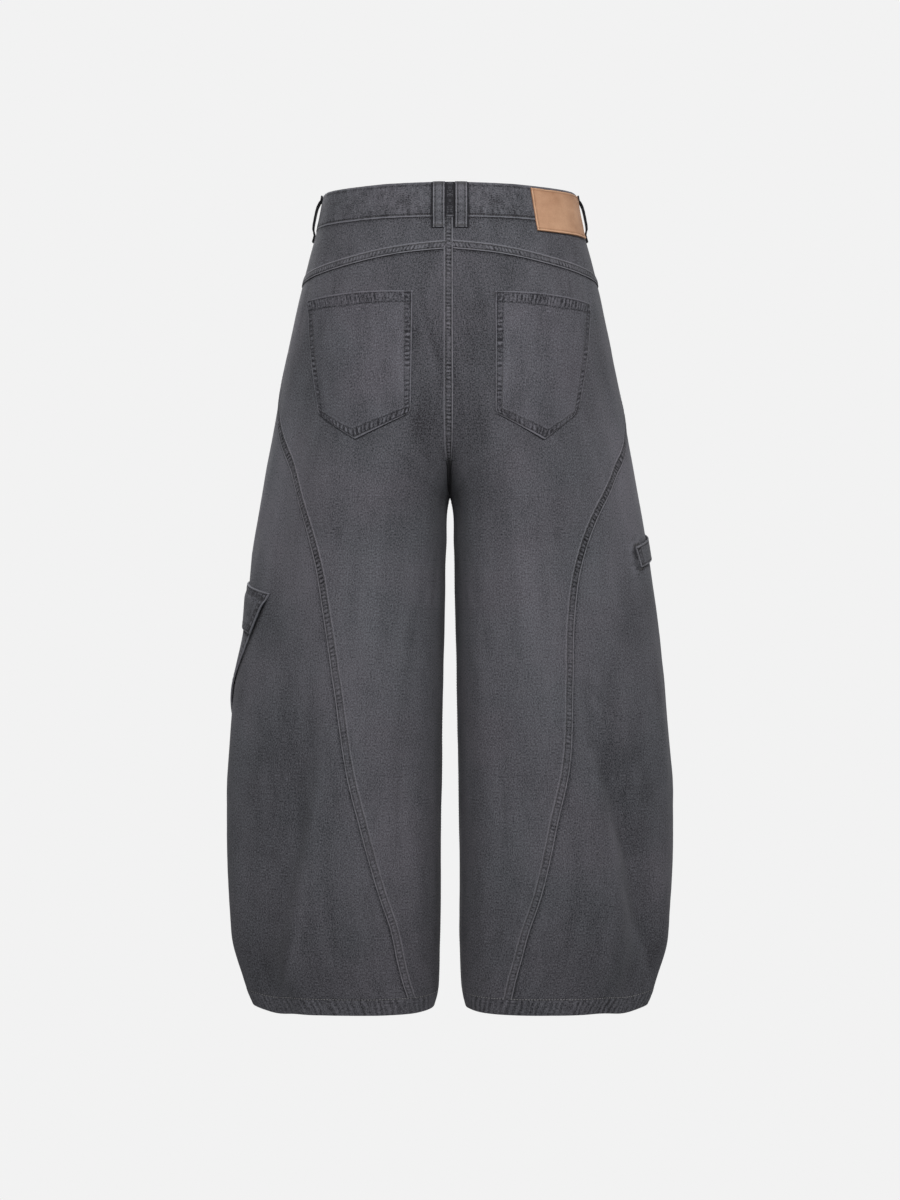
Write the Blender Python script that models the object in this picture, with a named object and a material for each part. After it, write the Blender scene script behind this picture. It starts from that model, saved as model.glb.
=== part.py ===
"""Barrel leg trousers in washed grey denim, hollow and standing out as if worn.

The tables are in millimetres and the meshes in metres. +X is the wearer's right, +Y the front and
+Z up. The origin is the middle of the waist opening at the top of the waistband, where a wearer's
waist holds the garment. Each half is worked out as a right half and the left one is turned over in x.

A point on the cloth is named by its side, its height z and its share of the way round that half,
from the centre back (share 0) past the outside of the leg to the centre front (share 1). Below the
crotch both ends of the way round are the inseam.
"""
import math
from collections import namedtuple
from functools import lru_cache

import bmesh
import bpy
import numpy as np
from mathutils import Vector
from mathutils.bvhtree import BVHTree

MM = 0.001
CLOTH = 1.5            # wall of a single panel
BAND = 3.0             # waistband, two layers and their turnings
HEM_FOLD = 3.0         # turned-up hem
SEAM_GAP = 0.3         # air between two pieces at a seam
HALF_GAP = SEAM_GAP / 2
ON_TOP = 0.35          # a sewn-on piece lies this far off the panel
SEAM_RISE = 0.8        # a felled seam stands this far proud
SEAM_WIDE = 11.0       # width of a felled seam
BAND_RISE = 0.8        # the waistband stands this far proud of the panels
WAIST_SEAM = -43.0     # bottom edge of the waistband
CROTCH = -369.0        # height where the legs part
HEM_LINE = -979.0      # top of the turned-up hem
HEM = -995.0           # bottom edge of the legs
YOKE_LINE = -95.0      # mean height of the yoke seam
BUTTON_R = 8.5
SHANK_R = 3.0

RIGHT, LEFT = 1, -1

# The shape of one half at named heights. outer and inner are the furthest and nearest x, back and
# front the depths, joined how far the two legs have become one body, crease_r and crease_l where
# the back of each leg folds round to its outside, as a share of the leg's width.
Level = namedtuple("Level", "z outer inner back front joined crease_r crease_l")
LEVELS = [
    Level(   0, 155.5, -155.5, 105.0,  98.0, 1.00, 0.62, 0.62),
    Level( -43, 164.5, -163.0, 112.0, 102.0, 1.00, 0.62, 0.62),
    Level( -79, 174.5, -174.5, 118.0, 105.0, 1.00, 0.62, 0.62),
    Level(-130, 187.0, -187.0, 125.0, 108.0, 1.00, 0.62, 0.62),
    Level(-180, 197.5, -180.0, 130.0, 111.0, 0.90, 0.62, 0.62),
    Level(-240, 209.0, -120.0, 132.0, 114.0, 0.66, 0.62, 0.65),
    Level(-300, 220.0,  -48.0, 130.0, 116.0, 0.32, 0.62, 0.67),
    Level(-340, 227.5,  -14.0, 127.0, 117.0, 0.08, 0.60, 0.66),
    Level(-369, 232.5,    0.0, 125.0, 116.0, 0.00, 0.58, 0.65),
    Level(-430, 243.0,    5.0, 121.0, 114.0, 0.00, 0.55, 0.63),
    Level(-500, 253.5,    6.5, 117.0, 112.0, 0.00, 0.53, 0.60),
    Level(-580, 263.5,    8.5, 112.0, 109.0, 0.00, 0.53, 0.56),
    Level(-660, 271.0,   10.0, 107.0, 106.0, 0.00, 0.57, 0.54),
    Level(-740, 275.8,   11.0, 102.0, 102.0, 0.00, 0.64, 0.57),
    Level(-820, 275.3,   12.0,  97.0,  98.0, 0.00, 0.70, 0.62),
    Level(-880, 271.5,   12.0,  92.0,  93.0, 0.00, 0.72, 0.66),
    Level(-920, 267.5,   12.5,  87.0,  88.0, 0.00, 0.72, 0.70),
    Level(-955, 257.5,   13.5,  82.0,  83.0, 0.00, 0.70, 0.72),
    Level(-980, 249.5,   15.5,  78.0,  78.0, 0.00, 0.68, 0.70),
    Level(-995, 243.0,   19.5,  76.0,  76.0, 0.00, 0.66, 0.70),
]

# One leg seen from above, as shares of its width and of its depth behind (minus) and in front.
# The two entries marked None stand at the crease and just short of it.
LEG_PLAN = [
    (0.0, 0.0), (0.015, -0.38), (0.10, -0.78), (0.27, -0.975),
    (None, -0.985), (None, -0.90),
    (0.83, -0.55), (0.965, -0.25), (1.0, 0.0), (0.965, 0.26), (0.82, 0.60),
    (0.60, 0.88), (0.40, 0.99), (0.22, 0.94), (0.08, 0.70), (0.012, 0.36),
]
TRUNK_PLAN = [
    (0.0, -1.0), (0.28, -0.975), (0.55, -0.87), (0.80, -0.62), (0.95, -0.31), (1.0, 0.0),
    (0.96, 0.38), (0.82, 0.72), (0.55, 0.94), (0.28, 1.0), (0.0, 1.0),
]

# The waist edge rises a little at the sides and dips to the front; the lift fades out down the hips.
LIFT = [(0.0, 0.0), (0.25, -1.0), (0.5, 2.5), (0.75, -4.0), (1.0, -12.0)]

# The yoke seam: way round from the centre back, and height.
YOKE_SEAM = [(0, -81), (59, -86), (122, -95.5), (180, -104), (225, -109.5), (270, -112)]

# The outside seam: height, and how far behind the side line it runs on each leg. It starts in front
# of the side and turns behind the leg on its way down.
SeamAt = namedtuple("SeamAt", "z right left")
OUTSEAM = [
    SeamAt( -43, -22, -22),
    SeamAt(-130, -22, -22),
    SeamAt(-200, -16, -12),
    SeamAt(-250,  -4,   8),
    SeamAt(-300,  22,  42),
    SeamAt(-350,  66,  82),
    SeamAt(-400, 110, 116),
    SeamAt(-450, 137, 139),
    SeamAt(-520, 155, 157),
    SeamAt(-600, 163, 173),
    SeamAt(-690, 173, 189),
    SeamAt(-760, 190, 206),
    SeamAt(-840, 206, 225),
    SeamAt(-915, 219, 240),
    SeamAt(-995, 206, 233),
]

# Large folds. at is how far behind the side line the top, middle and bottom of the fold lie, deep is
# how far it goes in (minus) or stands out, and wide its half width.
Fold = namedtuple("Fold", "side top low at_top at_mid at_low deep wide")
FOLDS = [
    Fold(RIGHT,  -590,  -985,  150,  104,   20, -8.0, 17),
    Fold(RIGHT,  -585,  -745,  142,  158,  170, -3.0, 12),
    Fold(RIGHT,  -640, -1010,  112,   52,    0,  3.5, 24),
    Fold(LEFT,   -560, -1020,  134,  122,   60, -5.0, 20),
    Fold(LEFT,   -420, -1010,  146,  160,   66,  2.5, 14),
    Fold(RIGHT,  -400,  -820,  262,  252,  236, -2.0, 20),
    Fold(LEFT,   -420,  -860,  270,  268,  250, -2.0, 18),
    Fold(RIGHT,  -330,  -940,  -98, -118, -102, -5.0, 20),
    Fold(LEFT,   -640, -1010, -112, -104, -124, -5.0, 20),
    Fold(LEFT,   -440,  -600,   10,   10,   10, -4.4, 60),
    Fold(RIGHT,  -520, -1010, -190, -198, -176, -4.0, 18),
    Fold(LEFT,   -480, -1010, -208, -206, -190, -4.0, 18),
    Fold(RIGHT,  -560,  -900,  -26,  -40,  -34, -4.0, 18),
    Fold(LEFT,   -690,  -985,  -36,  -44,  -62, -3.5, 18),
]

BACK_ROWS = [-135, -180, -225, -265, -300, -325, -345, -358, -365.5, -369, -373, -385, -410,
             -450, -500, -550, -600, -650, -700, -750, -800, -850, -895, -930, -958, -978.3,
             -979.7, HEM]
BACK_STEPS = [0.0, 0.10, 0.20, 0.30, 0.41, 0.52, 0.62, 0.72, 0.81, 0.90]
TO_SIDE = [0.0, 0.16, 0.33, 0.50, 0.66, 0.80, 0.92, 1.0]
FROM_SIDE = [0.035, 0.08, 0.15, 0.25, 0.36, 0.48, 0.60, 0.72, 0.84, 0.93, 1.0]

# Back pocket corners on each half: way round from the centre back, and height.
Corner = namedtuple("Corner", "s z")
BACK_POCKET = {
    RIGHT: dict(top_in=Corner(53, -132), top_out=Corner(191, -139), low_in=Corner(53, -278),
                low_out=Corner(161, -276), tip=Corner(115.5, -307.5)),
    LEFT: dict(top_in=Corner(43.5, -132), top_out=Corner(194, -135), low_in=Corner(45.5, -278),
               low_out=Corner(166, -278), tip=Corner(116, -307)),
}

# On the outside of the legs, places are named by how far behind the side line they are.
CARGO = dict(back=67.0, top=-487.5, width=165.0, height=180.0, rise=0.195,
             back_slant=0.52, front_slant=0.36)
FLAP_DEEP = 50.0
TOOL_LOOP = dict(rear=51.0, z=-442.0, length=112.0, tall=36.0, rise=0.27)

LOOP_WIDE = 14.5
# The way of a belt loop down the cloth: height, and how far its inner face stands off the panels.
LOOP_PATH = [(-0.5, 1.15), (-6.0, 1.15), (-9.0, 2.6), (-15.0, 4.2), (-24.0, 4.75), (-34.0, 4.7),
             (-41.0, 3.9), (-46.0, 1.3), (-49.0, 0.4), (-56.0, 0.4)]
LOOP_FROM_BACK = 13.2
BEHIND_SIDE = {"side loop": -2.0, "front loop": -134.0}

# The leather patch covers the waistband to the right of the loops: height of its upper and lower
# edges and the way round of its sides there.
PATCH_ROWS = [(-3.5, 98.0, 192.0), (-56.0, 106.5, 201.0)]


def slopes(xs, ys):
    """Tangents of a curve through named points that never overshoots them."""
    step = np.diff(xs)
    rate = np.diff(ys) / step
    tangent = np.empty_like(ys)
    tangent[0], tangent[-1] = rate[0], rate[-1]
    tangent[1:-1] = (rate[:-1] * step[1:] + rate[1:] * step[:-1]) / (step[1:] + step[:-1])
    tangent[1:-1][rate[:-1] * rate[1:] <= 0] = 0.0
    return tangent


def smooth(x, xs, ys):
    """Value at x of the smooth curve through the points (xs, ys)."""
    xs = np.asarray(xs, float)
    ys = np.asarray(ys, float)
    if xs[0] > xs[-1]:
        xs, ys = xs[::-1], ys[::-1]
    tangent = slopes(xs, ys)
    x = float(np.clip(x, xs[0], xs[-1]))
    i = int(np.clip(np.searchsorted(xs, x) - 1, 0, len(xs) - 2))
    step = xs[i + 1] - xs[i]
    t = (x - xs[i]) / step
    near = (2 * t**3 - 3 * t**2 + 1) * ys[i] + (t**3 - 2 * t**2 + t) * step * tangent[i]
    far = (3 * t**2 - 2 * t**3) * ys[i + 1] + (t**3 - t**2) * step * tangent[i + 1]
    return float(near + far)


def along(table, x):
    return smooth(x, [row[0] for row in table], [row[1] for row in table])


def level(z):
    """The shape of one half at height z."""
    heights = [row.z for row in LEVELS]
    values = [smooth(z, heights, [getattr(row, name) for row in LEVELS])
              for name in Level._fields[1:]]
    return Level(z, *values)


def curve_through(points, closed, steps=20):
    """Fine line through a few points, by centripetal interpolation."""
    points = np.asarray(points, float)
    if closed:
        ring_of = np.vstack([points[-1:], points, points[:2]])
    else:
        ring_of = points
    line = []
    for k in range(len(ring_of) - 3):
        a, b, c, d = ring_of[k:k + 4]
        t0 = 0.0
        t1 = t0 + math.dist(a, b) ** 0.5
        t2 = t1 + math.dist(b, c) ** 0.5
        t3 = t2 + math.dist(c, d) ** 0.5
        t = np.linspace(t1, t2, steps, endpoint=False)[:, None]
        ab = (t1 - t) / (t1 - t0) * a + (t - t0) / (t1 - t0) * b
        bc = (t2 - t) / (t2 - t1) * b + (t - t1) / (t2 - t1) * c
        cd = (t3 - t) / (t3 - t2) * c + (t - t2) / (t3 - t2) * d
        abc = (t2 - t) / (t2 - t0) * ab + (t - t0) / (t2 - t0) * bc
        bcd = (t3 - t) / (t3 - t1) * bc + (t - t1) / (t3 - t1) * cd
        line.append((t2 - t) / (t2 - t1) * abc + (t - t1) / (t2 - t1) * bcd)
    return np.vstack(line)


def evenly(line, count):
    """The same line with its points at equal steps."""
    run = np.r_[0.0, np.cumsum(np.hypot(*np.diff(line, axis=0).T))]
    steps = np.linspace(0.0, run[-1], count)
    return np.c_[np.interp(steps, run, line[:, 0]), np.interp(steps, run, line[:, 1])]


def depth_of(row, share):
    return share * (row.back if share < 0 else row.front)


def leg_line(row, side):
    """Closed line round one leg, from its inner point back and round."""
    crease = row.crease_r if side == RIGHT else row.crease_l
    before = [crease - 0.15, crease]
    points = []
    for across, share in LEG_PLAN:
        if across is None:
            across = before.pop(0)
        points.append((row.inner + across * (row.outer - row.inner), depth_of(row, share)))
    line = curve_through(points, closed=True)
    return np.vstack([line, line[:1]])


def trunk_line(row):
    """Half of the oval round the body, from the centre back to the centre front."""
    points = [(across * row.outer, depth_of(row, share)) for across, share in TRUNK_PLAN]
    first = (-points[1][0], points[1][1])
    last = (-points[-2][0], points[-2][1])
    return np.vstack([curve_through([first] + points + [last], closed=False), points[-1]])


@lru_cache(maxsize=None)
def ring(side, z):
    """The way round one half at height z, in equal steps, and its length."""
    row = level(z)
    line = leg_line(row, side)
    if z > CROTCH:
        kept = np.where(line[:, 0] >= 0)[0]
        i, j = kept[0], kept[-1]
        ends = []
        for out, inn in ((i - 1, i), (j + 1, j)):
            a, b = line[out], line[inn]
            ends.append(a + (b - a) * (0.0 - a[0]) / (b[0] - a[0]))
        line = np.vstack([ends[0], line[i:j + 1], ends[1]])
    line = evenly(line, 721)
    if row.joined > 0:
        line = (1 - row.joined) * line + row.joined * evenly(trunk_line(row), 721)
    length = float(np.hypot(*np.diff(line, axis=0).T).sum())
    return line, length


def half_round(side, z):
    return ring(side, round(z, 3))[1]


@lru_cache(maxsize=None)
def side_line(side, z):
    """Way round at which the side line, the outermost point of the half, lies."""
    line, length = ring(side, round(z, 3))
    i = int(np.argmax((line[:, 1] >= 0) & (np.arange(len(line)) > 250)))
    t = -line[i - 1, 1] / (line[i, 1] - line[i - 1, 1])
    return (i - 1 + t) / (len(line) - 1) * length


def beside(side, z, behind):
    """Share of the way round of a point that lies so far behind the side line."""
    return (side_line(side, round(z, 3)) - behind) / half_round(side, z)


def fold_depth(side, z, behind):
    """How far the large folds move the cloth out at a height and distance behind the side line."""
    total = 0.0
    for fold in FOLDS:
        if fold.side != side or not fold.low < z < fold.top:
            continue
        t = (fold.top - z) / (fold.top - fold.low)
        at = (fold.at_top * (1 - t) * (1 - 2 * t) + fold.at_mid * 4 * t * (1 - t)
              + fold.at_low * t * (2 * t - 1))
        total += fold.deep * math.sin(math.pi * t) * math.exp(-((behind - at) / fold.wide) ** 2)
    return total


def skin(side, z, share):
    """Point on the cloth's face, on the right half whichever the side."""
    line, length = ring(side, round(z, 3))
    place = min(max(share, 0.0), 1.0) * (len(line) - 1)
    i = min(int(place), len(line) - 2)
    t = place - i
    point = line[i] * (1 - t) + line[i + 1] * t
    a, b = line[max(i - 3, 0)], line[min(i + 4, len(line) - 1)]
    way = (b - a) / math.dist(a, b)
    behind = side_line(side, round(z, 3)) - share * length
    point = point + np.array([way[1], -way[0]]) * fold_depth(side, z, behind)
    fade = min(max((z + 300.0) / 300.0, 0.0), 1.0)
    lift = along(LIFT, share) * fade * fade
    return np.array([point[0], point[1], z + lift])


def outward(side, z, share):
    """Unit direction out of the cloth at a point."""
    a = skin(side, z, share - 0.004)
    b = skin(side, z, share + 0.004)
    low = skin(side, z - 0.8, share)
    high = skin(side, z + 0.8, share)
    normal = np.cross(b - a, high - low)
    return normal / np.linalg.norm(normal)


def place(side, z, share, off):
    """Point of the finished garment, off millimetres out from the cloth's face."""
    point = skin(side, z, share) + outward(side, z, share) * off
    return keep_side(side, point)


def keep_side(side, point):
    return np.array([max(point[0], HALF_GAP) * side, point[1], point[2]])


def outseam(side, z):
    """Share of the way round at which the outside seam runs."""
    column = 1 if side == RIGHT else 2
    behind = smooth(z, [row.z for row in OUTSEAM], [row[column] for row in OUTSEAM])
    return beside(side, z, behind)


def wall_at(z):
    return HEM_FOLD if z < HEM_LINE else CLOTH


def material(name, colour, rough, metal=0.0):
    made = bpy.data.materials.new(name)
    made.use_nodes = True
    shader = made.node_tree.nodes["Principled BSDF"]
    shader.inputs["Base Color"].default_value = (*colour, 1.0)
    shader.inputs["Roughness"].default_value = rough
    shader.inputs["Metallic"].default_value = metal
    return made


SURFACES = {}


def shell(name, outer, inner, colour, rough=0.9, metal=0.0):
    """One closed body between two matching grids of points, the face that shows and the one behind."""
    outer = np.asarray(outer, float)
    inner = np.asarray(inner, float)
    rows, columns = outer.shape[:2]
    mesh = bmesh.new()
    grids = []
    for grid in (outer, inner):
        grids.append([[mesh.verts.new(point * MM) for point in line] for line in grid])
    front, behind = grids
    for r in range(rows - 1):
        for c in range(columns - 1):
            a, b, d, e = (r, c), (r, c + 1), (r + 1, c + 1), (r + 1, c)
            short = (math.dist(outer[a], outer[d]) <= math.dist(outer[b], outer[e]))
            cuts = ((a, b, d), (a, d, e)) if short else ((a, b, e), (b, d, e))
            for cut in cuts:
                mesh.faces.new([front[i][j] for i, j in cut])
                mesh.faces.new([behind[i][j] for i, j in reversed(cut)])
    edge = ([(0, c) for c in range(columns)] + [(r, columns - 1) for r in range(1, rows)]
            + [(rows - 1, c) for c in range(columns - 2, -1, -1)]
            + [(r, 0) for r in range(rows - 2, 0, -1)])
    for (i, j), (k, m) in zip(edge, edge[1:] + edge[:1]):
        mesh.faces.new([front[k][m], front[i][j], behind[i][j]])
        mesh.faces.new([front[k][m], behind[i][j], behind[k][m]])
    if mesh.calc_volume(signed=True) < 0:
        bmesh.ops.reverse_faces(mesh, faces=mesh.faces)
    mesh.verts.index_update()
    SURFACES[name] = BVHTree.FromPolygons([vert.co / MM for vert in mesh.verts],
                                          [[vert.index for vert in face.verts] for face in mesh.faces])
    return finish(name, mesh, colour, rough, metal)


def finish(name, mesh, colour, rough, metal):
    data = bpy.data.meshes.new(name)
    mesh.to_mesh(data)
    mesh.free()
    data.shade_smooth()
    data.set_sharp_from_angle(angle=math.radians(50))
    data.materials.append(material(name, colour, rough, metal))
    piece = bpy.data.objects.new(name, data)
    bpy.context.scene.collection.objects.link(piece)
    return piece


DENIM = (0.085, 0.082, 0.095)
POCKET_DENIM = (0.095, 0.092, 0.105)
HEM_DENIM = (0.070, 0.068, 0.080)
LEATHER = (0.45, 0.26, 0.16)
METAL = (0.35, 0.34, 0.33)


def panel_points(side, places):
    """Outer and inner grids of a panel from a grid of (height, share, rise, wall)."""
    outer, inner = [], []
    for line in places:
        outer.append([place(side, z, share, rise) for z, share, rise, wall in line])
        inner.append([place(side, z, share, -wall) for z, share, rise, wall in line])
    return outer, inner


def yoke_edge(side, share):
    """Height of the yoke seam at a share of the way round."""
    return along(YOKE_SEAM, share * half_round(side, YOKE_LINE))


def yoke_rows(low):
    """Heights down the yoke, with a close pair where its felled edge starts."""
    top = WAIST_SEAM - SEAM_GAP
    ridge = low + SEAM_WIDE
    return [top, top + (ridge - top) * 0.5, ridge + 1.2, ridge, low]


def row_height(side, row, share):
    """Rows below the yoke bend with its seam at the top and run level from the thighs down."""
    z = BACK_ROWS[row]
    bend = max(0.0, 1.0 - (YOKE_LINE - z) / 150.0)
    return z + (yoke_edge(side, share) - YOKE_LINE) * bend


def back_shares(side, z):
    """Shares of the back panel's columns, with a close pair beside each felled seam."""
    length = half_round(side, z)
    last = outseam(side, z) * length - HALF_GAP
    first = HALF_GAP if z <= CROTCH else 0.0
    start, stop = first + SEAM_WIDE + 1.2, last - SEAM_WIDE - 1.2
    middle = [start + (stop - start) * step / BACK_STEPS[-1] for step in BACK_STEPS]
    ways = [first, first + SEAM_WIDE] + middle + [last - SEAM_WIDE, last]
    return [way / length for way in ways]


def back_panel(side, name):
    places = []
    for row in range(-1, len(BACK_ROWS)):
        base = YOKE_LINE if row < 0 else BACK_ROWS[row]
        line = []
        for column, share in enumerate(back_shares(side, base)):
            for _ in range(3):
                z = yoke_edge(side, share) - HALF_GAP if row < 0 else row_height(side, row, share)
                share = back_shares(side, z)[column]
            at_centre = column < 2 and side == LEFT and z > CROTCH + 20
            at_outside = column >= len(BACK_STEPS) + 2
            rise = SEAM_RISE if at_centre or at_outside else 0.0
            line.append((z, share, rise, wall_at(z)))
        places.append(line)
    return shell(name, *panel_points(side, places), DENIM)


def front_panel(side, name):
    seam_end = yoke_edge(side, outseam(side, YOKE_SEAM[-1][1]))
    heights = [z for i, z in enumerate(yoke_rows(seam_end)) if i != 3]
    for row in range(len(BACK_ROWS)):
        z = BACK_ROWS[row]
        for _ in range(3):
            z = row_height(side, row, outseam(side, z))
        heights.append(z)
    places = []
    for z in heights:
        length = half_round(side, z)
        first = outseam(side, z) * length + HALF_GAP
        last = length - (HALF_GAP if z <= CROTCH else 0.0)
        turn = max(side_line(side, z), first + 0.3 * (last - first))
        ways = ([first + (turn - first) * step for step in TO_SIDE]
                + [turn + (last - turn) * step for step in FROM_SIDE])
        places.append([(z, way / length, 0.0, wall_at(z)) for way in ways])
    return shell(name, *panel_points(side, places), DENIM)


def yoke(side, name):
    places = [[] for _ in range(5)]
    for column in range(10):
        share = column / 9 * outseam(side, YOKE_LINE)
        for _ in range(3):
            low = yoke_edge(side, share) + HALF_GAP
            share = column / 9 * outseam(side, low)
        for row, z in enumerate(yoke_rows(low)):
            last = outseam(side, z) - HALF_GAP / half_round(side, z)
            places[row].append((z, column / 9 * last, SEAM_RISE if row > 2 else 0.0, CLOTH))
    return shell(name, *panel_points(side, places), DENIM)


def waistband(side, name):
    """Half of the waistband. The left half laps over the right one at the centre front."""
    lap = 20.0 if side == LEFT else 0.0
    length = half_round(side, -20.0)
    ways = list(np.linspace(0.0, length - 46.0, 22)) + list(np.linspace(length - 38.0, length, 5))
    if lap:
        ways += [length + 7.0, length + 14.0, length + lap]
    outer, inner = [], []
    for z in (0.0, -1.5, -21.0, WAIST_SEAM + 1.0, WAIST_SEAM):
        edge = 0.5 if z in (0.0, WAIST_SEAM) else 0.0
        line_out, line_in = [], []
        for way in ways:
            share = way / length
            over = 0.0
            if lap:
                t = min(max((way - (length - 46.0)) / 26.0, 0.0), 1.0)
                over = (BAND + 0.45) * t * t * (3 - 2 * t)
            out_by = BAND_RISE - edge + over
            in_by = BAND_RISE - BAND + edge + over
            if share <= 1.0:
                points = [place(side, z, share, out_by), place(side, z, share, in_by)]
            else:
                points = [place(RIGHT, z, 2.0 - share, out_by), place(RIGHT, z, 2.0 - share, in_by)]
            if way == length and lap:
                for point in points:
                    point[0] = 0.0
            line_out.append(points[0])
            line_in.append(points[1])
        outer.append(line_out)
        inner.append(line_in)
    return shell(name, outer, inner, DENIM)


def height_over(point, normal, under):
    """How far a point stands above the pieces under it, or None where nothing lies below."""
    start = Vector(point + normal * 12.0)
    heights = []
    for name in under:
        hit = SURFACES[name].ray_cast(start, Vector(-normal), 24.0)
        if hit[3] is not None:
            heights.append(hit[3] - 12.0)
    return min(heights) if heights else None


def laid_on(name, side, places, under, colour, rough=0.9):
    """Piece laid on others. places holds height, share, least stand-off and thickness of each point.

    Every point is set out from the cloth's face and then lifted until the piece clears what is
    under it, between its own points too.
    """
    rows, columns = len(places), len(places[0])
    base = np.empty((rows, columns, 3))
    normals = np.empty((rows, columns, 3))
    thick = np.empty((rows, columns, 1))
    for r, line in enumerate(places):
        for c, (z, share, off, wall) in enumerate(line):
            normal = outward(side, z, share)
            base[r, c] = keep_side(side, skin(side, z, share) + normal * off)
            normals[r, c] = normal * np.array([side, 1, 1])
            thick[r, c] = wall
    for _ in range(4):
        lift = np.zeros((rows, columns))
        for r in range(rows - 1):
            for c in range(columns - 1):
                cell = [(r, c), (r, c + 1), (r + 1, c + 1), (r + 1, c)]
                for group in [cell[:1], cell[1:2], cell[2:3], cell[3:], cell[:2], cell[1:3], cell[2:],
                              [cell[0], cell[3]], [cell[0], cell[2]], [cell[1], cell[3]]]:
                    point = np.mean([base[i] for i in group], axis=0)
                    normal = np.mean([normals[i] for i in group], axis=0)
                    over = height_over(point, normal / np.linalg.norm(normal), under)
                    if over is not None and over < ON_TOP:
                        for i in group:
                            lift[i] = max(lift[i], ON_TOP - over)
        base += normals * lift[:, :, None]
    return shell(name, base + normals * thick, base, colour, rough)


def belt_loop(side, name, under, behind=None):
    """Strip down the waistband, sewn flat at both ends and slack between them."""
    places = []
    for z, off in LOOP_PATH:
        line = []
        for across in (-0.5, -0.36, 0.36, 0.5):
            if behind is None:
                share = (LOOP_FROM_BACK + across * LOOP_WIDE) / half_round(side, z)
            else:
                share = beside(side, z, behind - across * LOOP_WIDE)
            line.append((z, share, off, 1.3 if abs(across) == 0.5 else 1.7))
        places.append(line)
    return laid_on(name, side, places, under, DENIM)


def back_pocket(side, name, under):
    """Five-sided pocket laid on the back panel, with a thicker opening hem."""
    corner = BACK_POCKET[side]
    tip_at = (corner["tip"].s - corner["low_in"].s) / (corner["low_out"].s - corner["low_in"].s)
    places = []
    for down in (0.0, 0.06, 0.125, 0.135, 0.3, 0.46, 0.62, 0.78, 0.9, 1.0):
        line = []
        for across in (0.0, 0.04, 0.17, 0.3, 0.43, 0.56, 0.7, 0.83, 0.96, 1.0):
            if across < tip_at:
                low = corner["low_in"].z + (corner["tip"].z - corner["low_in"].z) * across / tip_at
            else:
                t = (across - tip_at) / (1 - tip_at)
                low = corner["tip"].z + (corner["low_out"].z - corner["tip"].z) * t
            top = corner["top_in"].z + (corner["top_out"].z - corner["top_in"].z) * across
            z = top + (low - top) * down
            left = corner["top_in"].s + (corner["low_in"].s - corner["top_in"].s) * down
            right = corner["top_out"].s + (corner["low_out"].s - corner["top_out"].s) * down
            thick = CLOTH + (0.7 if down < 0.13 else 0.0)
            if across in (0.0, 1.0) or down == 1.0:
                thick -= 0.4
            share = (left + (right - left) * across) / half_round(side, z)
            line.append((z, share, ON_TOP, thick))
        places.append(line)
    return laid_on(name, side, places, under, POCKET_DENIM)


def cargo_point(side, across, down):
    """Height and share of a point of the cargo pocket, which is set askew on the leg."""
    t = across / CARGO["width"]
    slant = CARGO["back_slant"] * (1 - t) + CARGO["front_slant"] * t
    z = CARGO["top"] + across * CARGO["rise"] - down
    return z, beside(side, z, CARGO["back"] - across - down * slant)


def cargo_pocket(side, name, under):
    places = []
    for down in np.linspace(14.0, CARGO["height"], 9):
        line = []
        for across in np.linspace(0.0, CARGO["width"], 12):
            line.append((*cargo_point(side, across, down), ON_TOP, CLOTH))
        places.append(line)
    return laid_on(name, side, places, under, POCKET_DENIM)


def cargo_flap(side, name, under):
    places = []
    for down in (0.0, 7.0, 14.0, 22.0, 36.0, FLAP_DEEP):
        line = []
        for across in np.linspace(-3.0, CARGO["width"] + 3.0, 14):
            off = ON_TOP if down < 10.0 else ON_TOP + CLOTH + 0.35
            line.append((*cargo_point(side, across, down), off, 1.6))
        places.append(line)
    return laid_on(name, side, places, under, POCKET_DENIM)


def tool_loop(side, name, under):
    """Strap across the outside of the leg, sewn down at both ends and slack between them."""
    half = TOOL_LOOP["tall"] / 2
    long = TOOL_LOOP["length"]
    places = []
    for up in (half, half - 2.0, 0.0, 2.0 - half, -half):
        line = []
        for across in (0.0, 2.0, 11.0, 15.0, 24.0, 38.0, 56.0, 74.0, 88.0, 97.0, 101.0, 110.0, long):
            t = min(max((across - 11.0) / (long - 22.0), 0.0), 1.0)
            z = TOOL_LOOP["z"] + across * TOOL_LOOP["rise"] + up
            share = beside(side, z, TOOL_LOOP["rear"] - across + up * TOOL_LOOP["rise"])
            thick = 1.2 if across in (0.0, long) or abs(up) == half else 1.6
            line.append((z, share, ON_TOP + 0.9 * math.sin(math.pi * t) ** 0.6, thick))
        places.append(line)
    return laid_on(name, side, places, under, DENIM)


def leather_patch(name, under):
    (top, *top_ways), (low, *low_ways) = PATCH_ROWS
    places = []
    for down in np.linspace(0.0, 1.0, 6):
        z = top + (low - top) * down
        left, right = [a + (b - a) * down for a, b in zip(top_ways, low_ways)]
        places.append([(z, (left + (right - left) * across) / half_round(RIGHT, z), BAND_RISE + 0.35, 1.5)
                       for across in np.linspace(0.0, 1.0, 9)])
    return laid_on(name, RIGHT, places, under, LEATHER, rough=0.6)


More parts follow.
